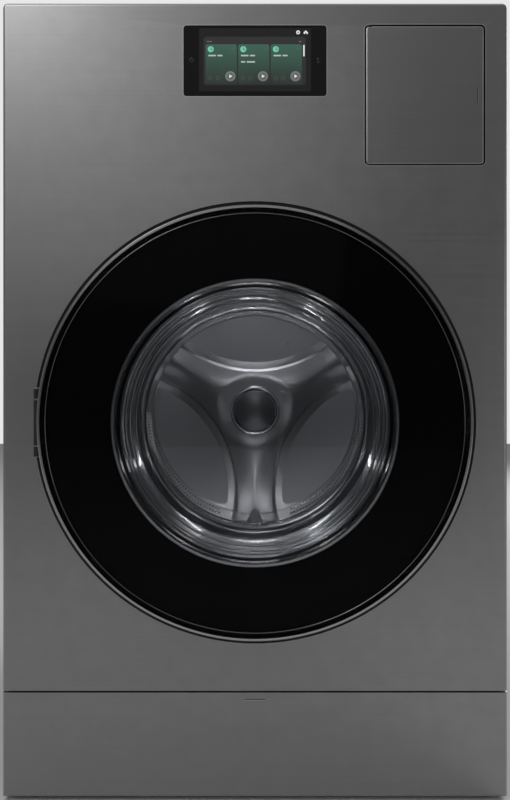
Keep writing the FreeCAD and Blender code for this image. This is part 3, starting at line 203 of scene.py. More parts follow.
grain, pitting, age = make_grain(), make_pitting(), make_age()
print("groups:", grain.name, "|", pitting.name, "|", age.name)

# %% [markdown]
# ## Finishes
# Each finish is one Principled shader. What changes over the surface is wired in, and what doesn't
# is set on the shader itself. A metal shows its strokes in its roughness and in a faint bump, a
# plastic shows its pitting in a bump, and glass is left clean.

# %% Finish makers
def blank(name, **plain):
    """A new material. Plain values are the same all over, and are set on the shader's own sockets."""
    material = bpy.data.materials.new(name)
    material.use_nodes = True
    bsdf = material.node_tree.nodes["Principled BSDF"].inputs
    for label, value in plain.items():
        bsdf[label.replace("_", " ")].default_value = value
    return material, material.node_tree, bsdf


def mix(tree, mask, first, second):
    """A colour between two. Each is a colour or a socket."""
    ends = {k: (*value, 1.0) if isinstance(value, tuple) else value for k, value in ((6, first), (7, second))}
    return add(tree, "Mix", {"Factor": mask, **ends}, data_type="RGBA")[2]


def bump(tree, bsdf, height, depth, strength):
    feed(tree, add(tree, "Bump", {"Height": height, "Distance": depth, "Strength": strength})[0], bsdf["Normal"])


def shade(colour, factor):
    return tuple(min(1.0, c * factor) for c in colour)


def metal(name, colour, rough, strokes=(3.0, 60.0, 600.0), depth=0.00002, contrast=0.12, wear=0.5, dust=0.1):
    material, tree, bsdf = blank(name, Metallic=1.0)
    texture, worn = use(tree, grain, Strokes=strokes), use(tree, age, Wear=wear, Dust=dust)
    tone = mix(tree, texture["Stroke"], shade(colour, 1 - contrast), shade(colour, 1 + contrast))
    tone = mix(tree, spread(tree, texture["Cloud"], 0.0, 0.35), tone, shade(colour, 0.9))
    tone = mix(tree, worn["Edge"], tone, shade(colour, 1.5))
    feed(tree, mix(tree, worn["Dust"], tone, (0.45, 0.44, 0.42)), bsdf["Base Color"])
    feed(tree, spread(tree, texture["Stroke"], rough - 0.06, rough + 0.06), bsdf["Roughness"])
    bump(tree, bsdf, texture["Stroke"], depth, 0.5)
    return material


def moulded(name, colour, rough, pits=900.0, depth=0.00004, wear=0.4, dust=0.25, spec=0.5, variation=0.12):
    material, tree, bsdf = blank(name, Specular_IOR_Level=spec)
    texture, worn = use(tree, pitting, Size=pits), use(tree, age, Wear=wear, Dust=dust)
    tone = mix(tree, texture["Cloud"], shade(colour, 1 - variation), shade(colour, 1 + variation))
    tone = mix(tree, worn["Edge"], tone, shade(colour, 1.6))
    feed(tree, mix(tree, worn["Dust"], tone, (0.42, 0.41, 0.39)), bsdf["Base Color"])
    feed(tree, spread(tree, texture["Cloud"], rough - 0.07, rough + 0.07), bsdf["Roughness"])
    bump(tree, bsdf, texture["Pit"], depth, 0.6)
    return material


def clear(name, colour, ior, clouds=3.0, waves_from=None):
    """Glass with a faint cloudiness. Pressed glass also has a mould's slow waves outside a radius."""
    material, tree, bsdf = blank(name, Transmission_Weight=1.0, IOR=ior)
    cloud = use(tree, pitting, Clouds=clouds)["Cloud"]
    feed(tree, mix(tree, cloud, colour, shade(colour, 0.97)), bsdf["Base Color"])
    feed(tree, spread(tree, cloud, 0.0, 0.03), bsdf["Roughness"])
    if waves_from:
        place = add(tree, "TexCoord")["Object"]
        on_axis = add(tree, "VectorMath", {0: place, 1: (0.0, 0.0, door_axis.z)}, operation="SUBTRACT")[0]
        across = add(tree, "VectorMath", {0: on_axis, 1: (1.0, 0.0, 1.0)}, operation="MULTIPLY")[0]
        radius = add(tree, "VectorMath", {0: across}, operation="LENGTH")["Value"]
        side = spread(tree, radius, 0.0, 1.0, (waves_from - 0.004, waves_from + 0.001))
        bump(tree, bsdf, calc(tree, "MULTIPLY", cloud, side), 0.0010, 0.3)
    return material


def painted(name, colour, rough, dust=0.3):
    return moulded(name, colour, rough, pits=260.0, depth=0.00003, wear=0.5, dust=dust, variation=0.05)


print("finish makers ready")

# %% Finishes by name
BLACK_GLASS = (0.004, 0.004, 0.0045)
finishes = {
    "front_steel": metal("dark brushed steel", (0.3, 0.3, 0.301), 0.36),
    "side_paint": painted("graphite side paint", (0.045, 0.047, 0.05), 0.42),
    "zinc_steel": metal("zinc coated sheet", (0.5, 0.51, 0.52), 0.48, (30.0, 30.0, 30.0), contrast=0.2, dust=0.3),
    "black_plastic": moulded("black moulding", (0.008, 0.008, 0.009), 0.45, dust=0.05, spec=0.3),
    "grey_plastic": moulded("grey moulding", (0.2, 0.205, 0.215), 0.5),
    "white_plastic": moulded("off-white moulding", (0.62, 0.63, 0.63), 0.42),
    "door_glass": clear("smoked door glass", (0.8, 0.81, 0.83), 1.1),
    "bowl_glass": clear("pressed bowl glass", (0.95, 0.96, 0.97), 1.45, 26.0, bowl_end_radius),
    "display_glass": moulded("black display glass", BLACK_GLASS, 0.08, 60.0, 0.0, dust=0.0, spec=0.2),
    "screen": moulded("screen module", (0.02, 0.02, 0.022), 0.3, dust=0.0),
    "bright_trim": metal("bright door rim", (0.42, 0.42, 0.43), 0.2, (40.0, 40.0, 40.0), contrast=0.04, dust=0.0),
    "drum_steel": metal("satin drum steel", (0.36, 0.362, 0.375), 0.3, (70.0, 4.0, 70.0), 0.000003, 0.03, 0.2, 0.0),
    "seal_rubber": moulded("door seal rubber", (0.16, 0.165, 0.175), 0.3, pits=500.0, dust=0.1),
    "foot_rubber": moulded("foot rubber", (0.012, 0.012, 0.012), 0.7, pits=400.0),
    "cast_metal": metal("cast metal", (0.3, 0.3, 0.31), 0.6, (220.0, 220.0, 220.0), depth=0.0002, contrast=0.3),
    "concrete": moulded("cast concrete", (0.36, 0.355, 0.34), 0.85, pits=160.0, depth=0.0006, variation=0.2),
    "spring_steel": metal("spring steel", (0.4, 0.4, 0.41), 0.35, (400.0, 400.0, 40.0)),
    "fin_aluminium": metal("fin aluminium", (0.7, 0.71, 0.72), 0.35, (400.0, 30.0, 400.0)),
    "copper_winding": metal("wound copper", (0.7, 0.36, 0.2), 0.35, (500.0, 500.0, 500.0), contrast=0.4),
    "filter_mesh": moulded("filter frame", (0.42, 0.45, 0.5), 0.45),
    "hinge_metal": painted("black hinge paint", (0.01, 0.01, 0.011), 0.4, dust=0.0),
}
PRINT_BLACK = (0.0012, 0.0012, 0.0014)
special = {
    "door_hinge_arm": finishes["hinge_metal"],
    "door_frame": moulded("black print behind the glass", PRINT_BLACK, 0.5, 60.0, 0.0, wear=0.0, dust=0.0, spec=0.05),
}
for row in frame["record"]["subparts"]:
    solid = frame["nodes"][row["node"]]
    solid.data.materials.clear()
    solid.data.materials.append(special.get(row["node"], finishes[row["material_slot"]]))
print(len(finishes), "finishes on", len(frame["nodes"]), "solids")

# %% [markdown]
# ## The camera and the light
# Product pictures of a machine are taken straight on, from its middle height. A broad soft light
# high on the left gives the steel its slow fade from pale to dark, one overhead keeps the floor
# pale, and an even surround fills the rest. The surround is dark behind the camera, so that black
# glass stays black. Small lamps inside the drum and the seal light them, as the real lamp does.

# %% Camera
CAMERA_DISTANCE, EYE_RISE = 0.9, 0.0028
camera_data = bpy.data.cameras.new("camera")
camera = bpy.data.objects.new("camera", camera_data)
bpy.context.scene.collection.objects.link(camera)
bpy.context.scene.camera = camera
camera.location = (0.0, front_y - CAMERA_DISTANCE, cad_box[1].z / 2 + EYE_RISE)
camera.rotation_euler = (math.radians(90), 0.0, 0.0)
camera_data.sensor_width = 36.0
camera_data.lens = 29.86
camera_data.clip_start = 0.02
camera_data.clip_end = 60.0
print("camera at", tuple(round(v, 3) for v in camera.location))

# %% Lights
def soft_light(name, place, aim, size, power, seen_through_glass=True):
    data = bpy.data.lights.new(name, "AREA")
    data.shape = "RECTANGLE"
    data.size, data.size_y = size
    data.energy = power
    made = bpy.data.objects.new(name, data)
    made.location = place
    made.rotation_euler = (Vector(aim) - Vector(place)).to_track_quat("-Z", "Y").to_euler()
    made.visible_transmission = seen_through_glass
    bpy.context.scene.collection.objects.link(made)


def around_axis(axis, angle, radius, y):
    """The place at an angle in degrees and a radius about an axis that runs front to back."""
    turn = math.radians(angle)
    return Vector((radius * math.cos(turn), y, axis.z + radius * math.sin(turn)))


soft_light("high left light", (-1.5, -2.0, 3.0), (-0.2, -0.37, 1.0), (1.5, 1.3), 28)
soft_light("wide upper light", (-0.65, -2.1, 1.62), (-0.1, -0.37, 1.0), (2.3, 1.4), 3)
soft_light("overhead light", (0.0, -0.2, 4.2), (0.0, -0.2, 0.0), (4.5, 4.5), 31)
soft_light("low right light", (2.0, -2.0, 0.7), (0.3, -0.37, 0.3), (0.8, 0.8), 3)
soft_light("rear fill light", (1.8, 3.2, 2.6), (0.0, 0.3, 0.6), (2.0, 1.6), 60)

drum_y, plate_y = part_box("drum")[0].y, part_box("drum_back")[1].y
near_y, raking_y, seal_y = drum_y + 0.035, plate_y - 0.19, drum_y - 0.03
drum_lamps = [(270, 0.215, near_y, 0.08), (90, 0.215, near_y, 0.05), (90, 0.245, plate_y - 0.11, 0.2)]
drum_lamps += [(angle, 0.252, raking_y, 0.03) for angle in (250, 290)]
drum_lamps += [(angle, 0.252, raking_y, 0.008) for angle in (12, 48, 132, 168)]
for number, (angle, radius, y, power) in enumerate(drum_lamps):
    soft_light(f"drum lamp {number}", around_axis(drum_axis, angle, radius, y),
               around_axis(drum_axis, angle, -0.2, plate_y - 0.01), (0.08, 0.02), power, False)
SEAL_LAMPS = {270: 0.3, 238: 0.1, 302: 0.1, 200: 0.04, 340: 0.04, 90: 0.12, 60: 0.05, 120: 0.05}
for angle, power in SEAL_LAMPS.items():
    soft_light(f"seal lamp {angle}", around_axis(door_axis, angle, 0.18, seal_y),
               around_axis(door_axis, angle, 0.24, seal_y - 0.03), (0.06, 0.006), power, False)
soft_light("lip lamp", (0.0, seal_y + 0.004, door_axis.z + 0.182), (0.0, plate_y, door_axis.z),
           (0.12, 0.008), 0.05, False)

# %% Surround and floor
world = bpy.data.worlds.new("surround")
bpy.context.scene.world = world
world.use_nodes = True
sky, surround = world.node_tree, world.node_tree.nodes["Background"].inputs
surround["Color"].default_value = (1.0, 1.0, 1.0, 1.0)
facing_back = add(sky, "SeparateXYZ", {0: add(sky, "TexCoord")["Generated"]})["Y"]
for_pieces = spread(sky, facing_back, 0.03, 0.21, (-0.985, -0.82))
strength = add(sky, "Mix", {"Factor": add(sky, "LightPath")["Is Camera Ray"], "A": for_pieces, "B": 0.8})
feed(sky, strength["Result"], surround["Strength"])
bpy.context.scene.view_settings.view_transform = "Standard"

REACH = 7.0
floor_mesh = bpy.data.meshes.new("studio_floor")
floor_mesh.from_pydata([(x * REACH, y * REACH, 0) for x, y in ((-1, -1), (1, -1), (1, 1), (-1, 1))], [], [(0, 1, 2, 3)])
floor = bpy.data.objects.new("studio_floor", floor_mesh)
bpy.context.scene.collection.objects.link(floor)
floor_mesh.materials.append(moulded("pale studio floor", (0.72, 0.72, 0.72), 0.7, pits=30.0, dust=0.0, variation=0.02))
print("floor done")

# %% [markdown]
# ## Turning numbers into meshes
# A few small makers cover most of the added pieces: a flat shape with a little thickness, for what
# is printed or inlaid; a flat band between two outlines; and a profile turned about the door's axis,
# for rings. All of them lay faces between rows of points and then freeze the result.

# %% Mesh makers
def keep(name, mesh, body, finish, smooth=False):
    """Makes an object of a mesh, gives it its finish and lets it ride on a body."""
    mesh.name = name
    made = bpy.data.objects.new(name, mesh)
    bpy.context.scene.collection.objects.link(made)
    if not mesh.materials:
        mesh.materials.append(finish)
    for face in mesh.polygons:
        face.use_smooth = smooth
    if body:
        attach(made, body)
    return made


def frozen(made, name):
    """Turns a finished bmesh into a mesh whose faces point outwards."""
    bmesh.ops.recalc_face_normals(made, faces=made.faces)
    mesh = bpy.data.meshes.new(name)
    made.to_mesh(mesh)
    made.free()
    return mesh


def skin(made, rows, around=True, along=True):
    """Lays faces between each row of points and the next. Both ways can be closed into a loop."""
    rows = [[made.verts.new(point) for point in row] for row in rows]
    for a, b in zip(rows, rows[1:] + rows[:1] * along):
        for k in range(len(a) - (not around)):
            j = (k + 1) % len(a)
            made.faces.new((a[k], a[j], b[j], b[k]))
    return rows


def prisms(outlines, near, far):
    """A mesh of upright plates: each outline is a list of (x, z) points, made solid from y = near to far."""
    made = bmesh.new()
    for points in outlines:
        rows = skin(made, [[(x, y, z) for x, z in points] for y in (near, far)], along=False)
        made.faces.new(rows[0])
        made.faces.new(rows[1][::-1])
    return frozen(made, "plates")


def bands(pairs, near, far, closed=True):
    """Thin flat bands: each pair is an outer and an inner outline of (x, z) points."""
    made = bmesh.new()
    for outer, inner in pairs:
        section = ((outer, near), (outer, far), (inner, far), (inner, near))
        rows = skin(made, [[(x, y, z) for x, z in points] for points, y in section], closed)
        if not closed:
            made.faces.new([row[0] for row in rows])
            made.faces.new([row[-1] for row in rows])
    return frozen(made, "bands")


def rounded(x, z, wide, high, corner, steps=6):
    """The outline of a rectangle with round corners, about its centre (x, z)."""
    points = []
    for k, (sx, sz) in enumerate(((1, 1), (-1, 1), (-1, -1), (1, -1))):
        cx, cz = x + sx * (wide / 2 - corner), z + sz * (high / 2 - corner)
        for j in range(steps + 1):
            turn = math.radians(90 * (k + j / steps))
            points.append((cx + corner * math.cos(turn), cz + corner * math.sin(turn)))
    return points


def disc(x, z, radius, steps=28):
    return [(x + radius * math.cos(math.tau * k / steps), z + radius * math.sin(math.tau * k / steps))
            for k in range(steps)]


def hoop(x, z, outer, inner):
    return disc(x, z, outer), disc(x, z, inner)


def turned(profile, steps, axis_z):
    """Turns a closed (y, radius) profile about an axis that runs front to back."""
    made = bmesh.new()
    turns = [math.tau * k / steps for k in range(steps)]
    skin(made, [[(r * math.cos(turn), y, axis_z + r * math.sin(turn)) for y, r in profile] for turn in turns])
    return frozen(made, "turned")


print("mesh makers ready")

# %% [markdown]
# ## The picture on the touch screen
# The display is one sheet of black glass. Behind it a smaller screen shows three programme cards,
# each with a round badge, a play button and two small options. The words on such cards are left
# out, and plain bars stand where they would be. Each layer is a thin plate a tenth of a millimetre
# in front of the last, because two faces in one plane would flicker, and all of them stay behind
# the steel's face. A lit material gives off its colour, so the layers glow as a screen does.

# %% Screen colours
def lit(name, top, bottom, rows=(glass_low.z, glass_high.z)):
    """A glowing colour that fades from top to bottom between two heights."""
    material, tree, bsdf = blank(name, Base_Color=(0.003, 0.003, 0.003, 1.0), Emission_Strength=1.0)
    place = add(tree, "TexCoord")["Object"]
    soft = noise(tree, place, 30.0, 1.0)
    rise = spread(tree, add(tree, "SeparateXYZ", {0: place})["Z"], 0.0, 1.0, rows)
    uneven = calc(tree, "MULTIPLY", calc(tree, "SUBTRACT", soft, 0.5), 0.25)
    feed(tree, mix(tree, calc(tree, "ADD", rise, uneven), bottom, top), bsdf["Emission Color"])
    feed(tree, spread(tree, soft, 0.08, 0.12), bsdf["Roughness"])
    return material


def seen(r, g, b):
    """A colour as painted on a monitor, turned into the linear light that the shader wants."""
    return tuple((c / 255) ** 2.2 for c in (r, g, b))


CARD_ROWS = (screen.z - 0.034, screen.z + 0.024)
screen_looks = {
    "backlight": lit("unlit screen", seen(3, 3, 4), seen(1, 1, 2)),
    "desk": lit("screen desk grey", seen(40, 42, 40), seen(36, 35, 36)),
    "card": lit("programme card green", seen(56, 92, 78), seen(38, 40, 39), CARD_ROWS),
    "badge": lit("badge mint", seen(120, 200, 170), seen(100, 180, 150)),
    "button": lit("button grey", seen(128, 132, 131), seen(100, 104, 103)),
    "white": lit("screen white", seen(232, 236, 235), seen(220, 224, 223)),
    "words": lit("screen label grey", seen(176, 190, 186), seen(160, 176, 170)),
    "dim": lit("screen dim grey", seen(96, 100, 99), seen(84, 88, 87)),
    "faint": lit("faint print", seen(52, 53, 54), seen(46, 47, 48)),
}
print(len(screen_looks), "screen colours")

# %% Screen layers
CARD_WIDE, CARD_HIGH, CARD_STEP = 0.0424, 0.0542, 0.0442
cards = [(screen.x - 0.0459 + k * CARD_STEP, screen.z - 0.0044) for k in range(3)]


def screen_piece(name, outlines, depth, look):
    """A layer that stands a number of tenths of a millimetre in front of the glass."""
    y_range = glass_low.y - depth * 0.0001, glass_low.y + 0.0001
    maker = bands if isinstance(outlines[0], tuple) else prisms
    return keep(name, maker(outlines, *y_range), "cabinet", screen_looks[look])


screen_piece("screen_zone", [rounded(screen.x, screen.z + 0.0016, 0.152, 0.0855, 0.001)], 0.5, "backlight")
screen_piece("screen_desk", [rounded(screen.x - 0.0005, screen.z, 0.1388, 0.0658, 0.004)], 1.2, "desk")
screen_piece("screen_cards", [rounded(x, z, CARD_WIDE, CARD_HIGH, 0.0028) for x, z in cards], 2, "card")
badges = [(x - 0.0142, z + 0.0204) for x, z in cards]
screen_piece("screen_badges", [disc(x, z, 0.0041) for x, z in badges], 2.8, "badge")
hands = [rounded(x + 0.0004, z + 0.0008, 0.0007, 0.0034, 0.0003) for x, z in badges]
hands += [rounded(x + 0.0013, z - 0.0007, 0.0026, 0.0007, 0.0003) for x, z in badges]
screen_piece("screen_badge_hands", hands, 3.4, "desk")
buttons = [(x + 0.0124, z - 0.0163) for x, z in cards]
screen_piece("screen_buttons", [disc(x, z, 0.0069) for x, z in buttons], 2.8, "button")
screen_piece("screen_button_faces", [disc(x, z, 0.0045) for x, z in buttons], 3.4, "dim")
triangles = [[(x - 0.0014, z + 0.0024), (x - 0.0014, z - 0.0024), (x + 0.0027, z)] for x, z in buttons]
screen_piece("screen_play_marks", triangles, 4, "white")
options = [hoop(x + dx, z - 0.019, 0.0026, 0.0022) for x, z in cards for dx in (-0.0145, -0.0045)]
screen_piece("screen_options", options, 2.8, "dim")
bars = []
for number, (x, z) in enumerate(cards):
    for line, widths in enumerate(((0.0105, 0.0070), (0.0060, 0.0115))[:2 if number == 1 else 1]):
        start = x - 0.0175
        for wide in widths:
            bars.append(rounded(start + wide / 2, z + 0.0118 - line * 0.0086, wide, 0.0020, 0.0009))
            start += wide + 0.0018
screen_piece("screen_name_bars", bars, 2.8, "words")
dots = [disc(x + 0.0145 + k * 0.0014, z + 0.0217, 0.0005, 10) for x, z in cards for k in range(3)]
dots += [rounded(screen.x + dx, screen.z + 0.0264, wide, 0.0014, 0.0006)
         for dx, wide in ((-0.062, 0.0075), (0.0612, 0.0036))]
screen_piece("screen_small_marks", dots, 2.8, "dim")
screen_piece("screen_scroll_bar", [rounded(screen.x + 0.0664, screen.z + 0.0141, 0.0018, 0.0156, 0.0008)], 2, "white")

# %% Marks on the glass
status, play_x, power_x = screen.z + 0.039, screen.x + 0.0856, screen.x - 0.0864
half_house = [(0.0028, 0.0), (0.0028, -0.0022), (0.0009, -0.0022), (0.0009, -0.0004)]
house = [(0.0, 0.0026)] + half_house + [(-x, z) for x, z in half_house[::-1]]
screen_piece("status_home", [[(screen.x + 0.0689 + x, status + z) for x, z in house]], 1.2, "white")
screen_piece("status_ring", [hoop(screen.x + 0.0585, status, 0.0026, 0.0011)], 1.2, "white")
faint = [rounded(screen.x + 0.0391, status, 0.004, 0.0036, 0.0006), disc(screen.x + 0.0454, status, 0.0016)]
faint += [[(play_x + x, screen.z + z) for x, z in ((-0.0013, 0.0048), (-0.0013, 0.0014), (0.0016, 0.0031))]]
faint += [rounded(play_x + dx, screen.z - 0.0011, 0.0008, 0.0032, 0.0003) for dx in (-0.0009, 0.0009)]
faint += [rounded(power_x, screen.z + 0.0041, 0.0008, 0.003, 0.0003)]
screen_piece("glass_marks", faint, 0.4, "faint")
screen_piece("glass_power_ring", [hoop(power_x, screen.z + 0.0017, 0.003, 0.0023)], 0.4, "faint")
print("printed marks done")

# %% [markdown]
# ## Repeats made by rule
# Drum holes, screws, vent hoods and spring coils are one small shape used many times. Geometry Nodes
# does that work: a few named numbers decide how many there are and where each one sits, and one
# stamp is placed on every spot. The result is then frozen into a plain mesh, so that it can ride on
# a body like any other piece.

# %% Geometry Nodes helpers
def rule(name, values):
    """An empty Geometry Nodes tree with an input for each named value, its inputs and its end."""
    tree, given, ends = new_tree(name, "GeometryNodeTree", values, {"Geometry": "Geometry"})
    return tree, given, ends[0]


def vector(tree, *values):
    return add(tree, "ShaderNodeCombineXYZ", dict(enumerate(values)))[0]


def painted_with(tree, source, finish):
    return add(tree, "SetMaterial", {"Geometry": source, "Material": finish})[0]


def joined(tree, *sources):
    made = tree.nodes.new("GeometryNodeJoinGeometry")
    for source in sources:
        tree.links.new(source, made.inputs[0])
    return made.outputs[0]


def counted(tree, spot, count):
    """So many points, each moved to the spot that its number gives."""
    line = add(tree, "MeshLine", {"Count": count})[0]
    return add(tree, "SetPosition", {"Geometry": line, "Position": spot})[0]


def realized(tree, source, target):
    """Ends the tree in real meshes in place of instances."""
    feed(tree, add(tree, "RealizeInstances", {0: source})[0], target)


def swept(tree, path, thickness, corners, finish, target, **caps):
    """Gives a path a round section and a finish, and ends the tree."""
    section = add(tree, "CurvePrimitiveCircle", {"Resolution": corners, "Radius": thickness})[0]
    wire = add(tree, "CurveToMesh", {"Curve": path, "Profile Curve": section, **caps})[0]
    realized(tree, painted_with(tree, wire, finish), target)


def stamp_out(tree, points, stamp, facing, target):
    """Puts the stamp on every point with its own up along facing, and ends the tree."""
    turn = add(tree, "FunctionNodeAlignRotationToVector", {"Vector": facing}, axis="Z")[0]
    placed = add(tree, "InstanceOnPoints", {"Points": points, "Instance": stamp, "Rotation": turn})[0]
    realized(tree, placed, target)


def grown(tree, values):
    """Runs a tree with the given inputs and returns its result as a plain mesh."""
    holder = bpy.data.objects.new("holder", bpy.data.meshes.new("holder"))
    bpy.context.scene.collection.objects.link(holder)
    modifier = holder.modifiers.new("rule", "NODES")
    modifier.node_group = tree
    sockets = {item.name: item.identifier for item in tree.interface.items_tree if item.in_out == "INPUT"}
    for label, value in values.items():
        modifier[sockets[label]] = value
    graph = bpy.context.evaluated_depsgraph_get()
    graph.update()
    mesh = bpy.data.meshes.new_from_object(holder.evaluated_get(graph), preserve_all_data_layers=True, depsgraph=graph)
    bpy.data.objects.remove(holder)
    print(f"{tree.name}: {len(mesh.polygons)} faces")
    return mesh


# %% [markdown]
# ## The holes of the drum
# Water leaves the drum through several thousand small holes. They are punched from inside, so each
# has a rolled rim. Real holes would need the drum's mesh cut thousands of times. Here each hole is a
# rim whose steel is painted lighter than the drum's, a painted highlight, around a near-black disc of
# painted shade where the hole's dark inside would be. It looks much the same and costs a few dozen faces.
# One rule serves the wall and the sloping rear edge, since both are rows of a turned surface: a row
# runs around the axis at a radius and depth between two ends, and every other row is shifted by half
# a step. On the rear edge the holes keep clear of the three arms.

# %% Drum holes
# Painted shade: a near-black disc stands for the shaded inside of each hole, and on the screws for the shaded recess of
# the cross. The rim's steel is painted lighter than the drum's as a painted highlight.
recess_painted_shade = moulded("painted shade in holes and screw crosses", (0.006, 0.006, 0.007), 0.6, dust=0.0)
hole_rim_highlight = metal("rolled hole rim with painted highlight", (0.62, 0.62, 0.63), 0.22, (300.0, 300.0, 300.0), contrast=0.1, wear=0.2, dust=0.0)
SHEET = 0.0012
plate_low, plate_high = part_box("drum_back")
wall_low, wall_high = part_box("drum")
drum_inside = plate_high.x - SHEET
flat_radius = drum_inside - 0.032
plate_front = plate_high.y - SHEET
slope = (plate_front - plate_low.y) / (drum_inside - flat_radius)


def slope_depth(radius):
    """How deep the sloping edge of the drum's back lies at a radius."""
    return plate_front - (radius - flat_radius) * slope


first, last = drum_inside - 0.004, flat_radius + 0.004
edge_values = {
    "Around": 204, "Rows": 4, "Near Radius": first, "Far Radius": last,
    "Near Depth": slope_depth(first), "Far Depth": slope_depth(last), "Centre Height": drum_axis.z,
    "Hole Radius": 0.0024, "Rim": 0.0008, "Clear Share": 0.16, "Lift": 0.0006,
}
wall_values = edge_values | {
    "Around": 102, "Rows": 20, "Near Radius": drum_inside, "Far Radius": drum_inside,
    "Near Depth": wall_low.y + 0.055, "Far Depth": wall_high.y - 0.012,
    "Hole Radius": 0.0022, "Rim": 0.0006, "Clear Share": 0.1,
}


def make_row_rule():
    tree, given, target = rule("turned rows of holes", edge_values)
    work = partial(calc, tree)
    index = add(tree, "InputIndex")[0]
    row = work("FLOOR", work("DIVIDE", index, given["Around"]))
    column = work("ADD", work("MODULO", index, given["Around"]), work("MULTIPLY", work("MODULO", row, 2.0), 0.5))
    turn = work("DIVIDE", column, given["Around"])
    angle = work("MULTIPLY", turn, math.tau)
    along = work("DIVIDE", row, work("MAXIMUM", work("SUBTRACT", given["Rows"], 1.0), 1.0))
    radial = work("SUBTRACT", given["Far Radius"], given["Near Radius"])
    deeper = work("SUBTRACT", given["Far Depth"], given["Near Depth"])
    slant = work("SQRT", work("ADD", work("MULTIPLY", radial, radial), work("MULTIPLY", deeper, deeper)))
    out_r = work("DIVIDE", work("MULTIPLY", deeper, -1.0), slant)
    out_y = work("DIVIDE", radial, slant)
    radius, depth = (
        work("ADD", work("MULTIPLY_ADD", change, along, start), work("MULTIPLY", out, given["Lift"]))
        for change, start, out in ((radial, given["Near Radius"], out_r), (deeper, given["Near Depth"], out_y)))
    across, up = work("COSINE", angle), work("SINE", angle)
    height = work("MULTIPLY_ADD", radius, up, given["Centre Height"])
    spot = vector(tree, work("MULTIPLY", radius, across), depth, height)
    points = counted(tree, spot, work("MULTIPLY", given["Around"], given["Rows"]))
    third = work("FRACT", work("ADD", work("MULTIPLY", turn, 3.0), 0.75))
    off_arm = work("ABSOLUTE", work("SUBTRACT", third, 0.5))
    near_arm = work("GREATER_THAN", off_arm, work("SUBTRACT", 0.5, given["Clear Share"]))
    kept = add(tree, "DeleteGeometry", {"Geometry": points, "Selection": near_arm}, domain="POINT")[0]
    circle = add(tree, "CurvePrimitiveCircle", {"Resolution": 10, "Radius": given["Hole Radius"]})[0]
    section = add(tree, "CurvePrimitiveCircle", {"Resolution": 4, "Radius": given["Rim"]})[0]
    rim = add(tree, "CurveToMesh", {"Curve": circle, "Profile Curve": section})[0]
    # The rim is a painted highlight and this dark disc is painted shade.
    dark = add(tree, "MeshCircle", {"Vertices": 10, "Radius": given["Hole Radius"]}, fill_type="NGON")[0]
    stamp = joined(tree, painted_with(tree, rim, hole_rim_highlight), painted_with(tree, dark, recess_painted_shade))
    facing = vector(tree, work("MULTIPLY", out_r, across), out_y, work("MULTIPLY", out_r, up))
    stamp_out(tree, kept, stamp, facing, target)
    return tree


row_rule = make_row_rule()
for name, values in (("drum_rear_holes", edge_values), ("drum_wall_holes", wall_values)):
    keep(name, grown(row_rule, values), "drum", hole_rim_highlight)

# %% [markdown]
# ## The pressed back of the drum
# The drum's back is a steel plate pressed into three crowned arms that run out to the lifters, with
# scooped fields between them. It is one smooth surface that a rule can describe: how far a point lies
# outside the nearest of three big circles says how high it stands. Near a circle's edge there is a
# small bead, and further in the arm swells to its crown. Around the hub the plate dishes in again.
# A bright ring with a dark cap covers the end of the shaft.

# %% Drum back
FIELD_AWAY, FIELD_RADIUS = 1.55 * flat_radius, 1.151 * flat_radius
BEAD, CROWN, SCOOP, DISH = 0.0022, 0.0088, 0.003, 0.006
field_centres = [(FIELD_AWAY * math.cos(math.radians(a)), FIELD_AWAY * math.sin(math.radians(a)))
                 for a in (90, 210, 330)]


def eased(low, high, value):
    """0 below low, 1 above high, and a smooth step between them."""
    share = min(1.0, max(0.0, (value - low) / (high - low)))
    return share * share * (3 - 2 * share)


def arm_height(x, z, radius):
    """How far the pressed plate stands forward of its flat at a point about the drum's axis."""
    inside = min(math.hypot(x - cx, z - cz) for cx, cz in field_centres) - FIELD_RADIUS
    bead = BEAD * eased(0.0, 0.004, inside)
    crown = CROWN * math.sin(math.pi / 2 * min(1.0, max(0.0, inside / 0.056)))
    scoop = SCOOP * eased(0.0, 0.06, -inside) * (radius < flat_radius) * eased(flat_radius, flat_radius - 0.02, radius)
    dish = DISH * eased(0.092, 0.050, radius)
    return (bead + crown) * eased(drum_inside, drum_inside - 0.018, radius) - dish - scoop


def make_drum_back(around=360, rings=150):
    circle = [(math.cos(math.tau * k / around), math.sin(math.tau * k / around)) for k in range(around)]
    rows = []
    for j in range(1, rings + 1):
        radius = drum_inside * j / rings
        flat_y = plate_front if radius < flat_radius else slope_depth(radius)
        rows.append([(radius * c, flat_y - arm_height(radius * c, radius * s, radius), drum_axis.z + radius * s)
                     for c, s in circle])
    rear_y = plate_front + SHEET * 0.5
    for radius, y in ((drum_inside, slope_depth(drum_inside) + SHEET), (flat_radius, rear_y), (0.05, rear_y)):
        rows.append([(radius * c, y, drum_axis.z + radius * s) for c, s in circle])
    made = bmesh.new()
    rows = skin(made, rows, along=False)
    for row, y in ((rows[0], plate_front - arm_height(0, 0, 0)), (rows[-1], rear_y)):
        middle = made.verts.new((0, y, drum_axis.z))
        for k in range(around):
            made.faces.new((middle, row[k], row[(k + 1) % around]))
    return frozen(made, "drum_back_plate")


drum_plate = keep("drum_back_plate", make_drum_back(), "drum", finishes["drum_steel"], True)
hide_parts("drum_back")
print("drum back:", len(drum_plate.data.polygons), "faces")

# %% Hub ring and cap
def capped(profile, steps, axis_z):
    """Turns a profile that starts and ends on the axis, and closes it there."""
    made = bmesh.new()
    made.from_mesh(turned(profile, steps, axis_z))
    bmesh.ops.remove_doubles(made, verts=made.verts, dist=0.000002)
    bmesh.ops.dissolve_degenerate(made, edges=made.edges, dist=0.000002)
    return frozen(made, "capped")


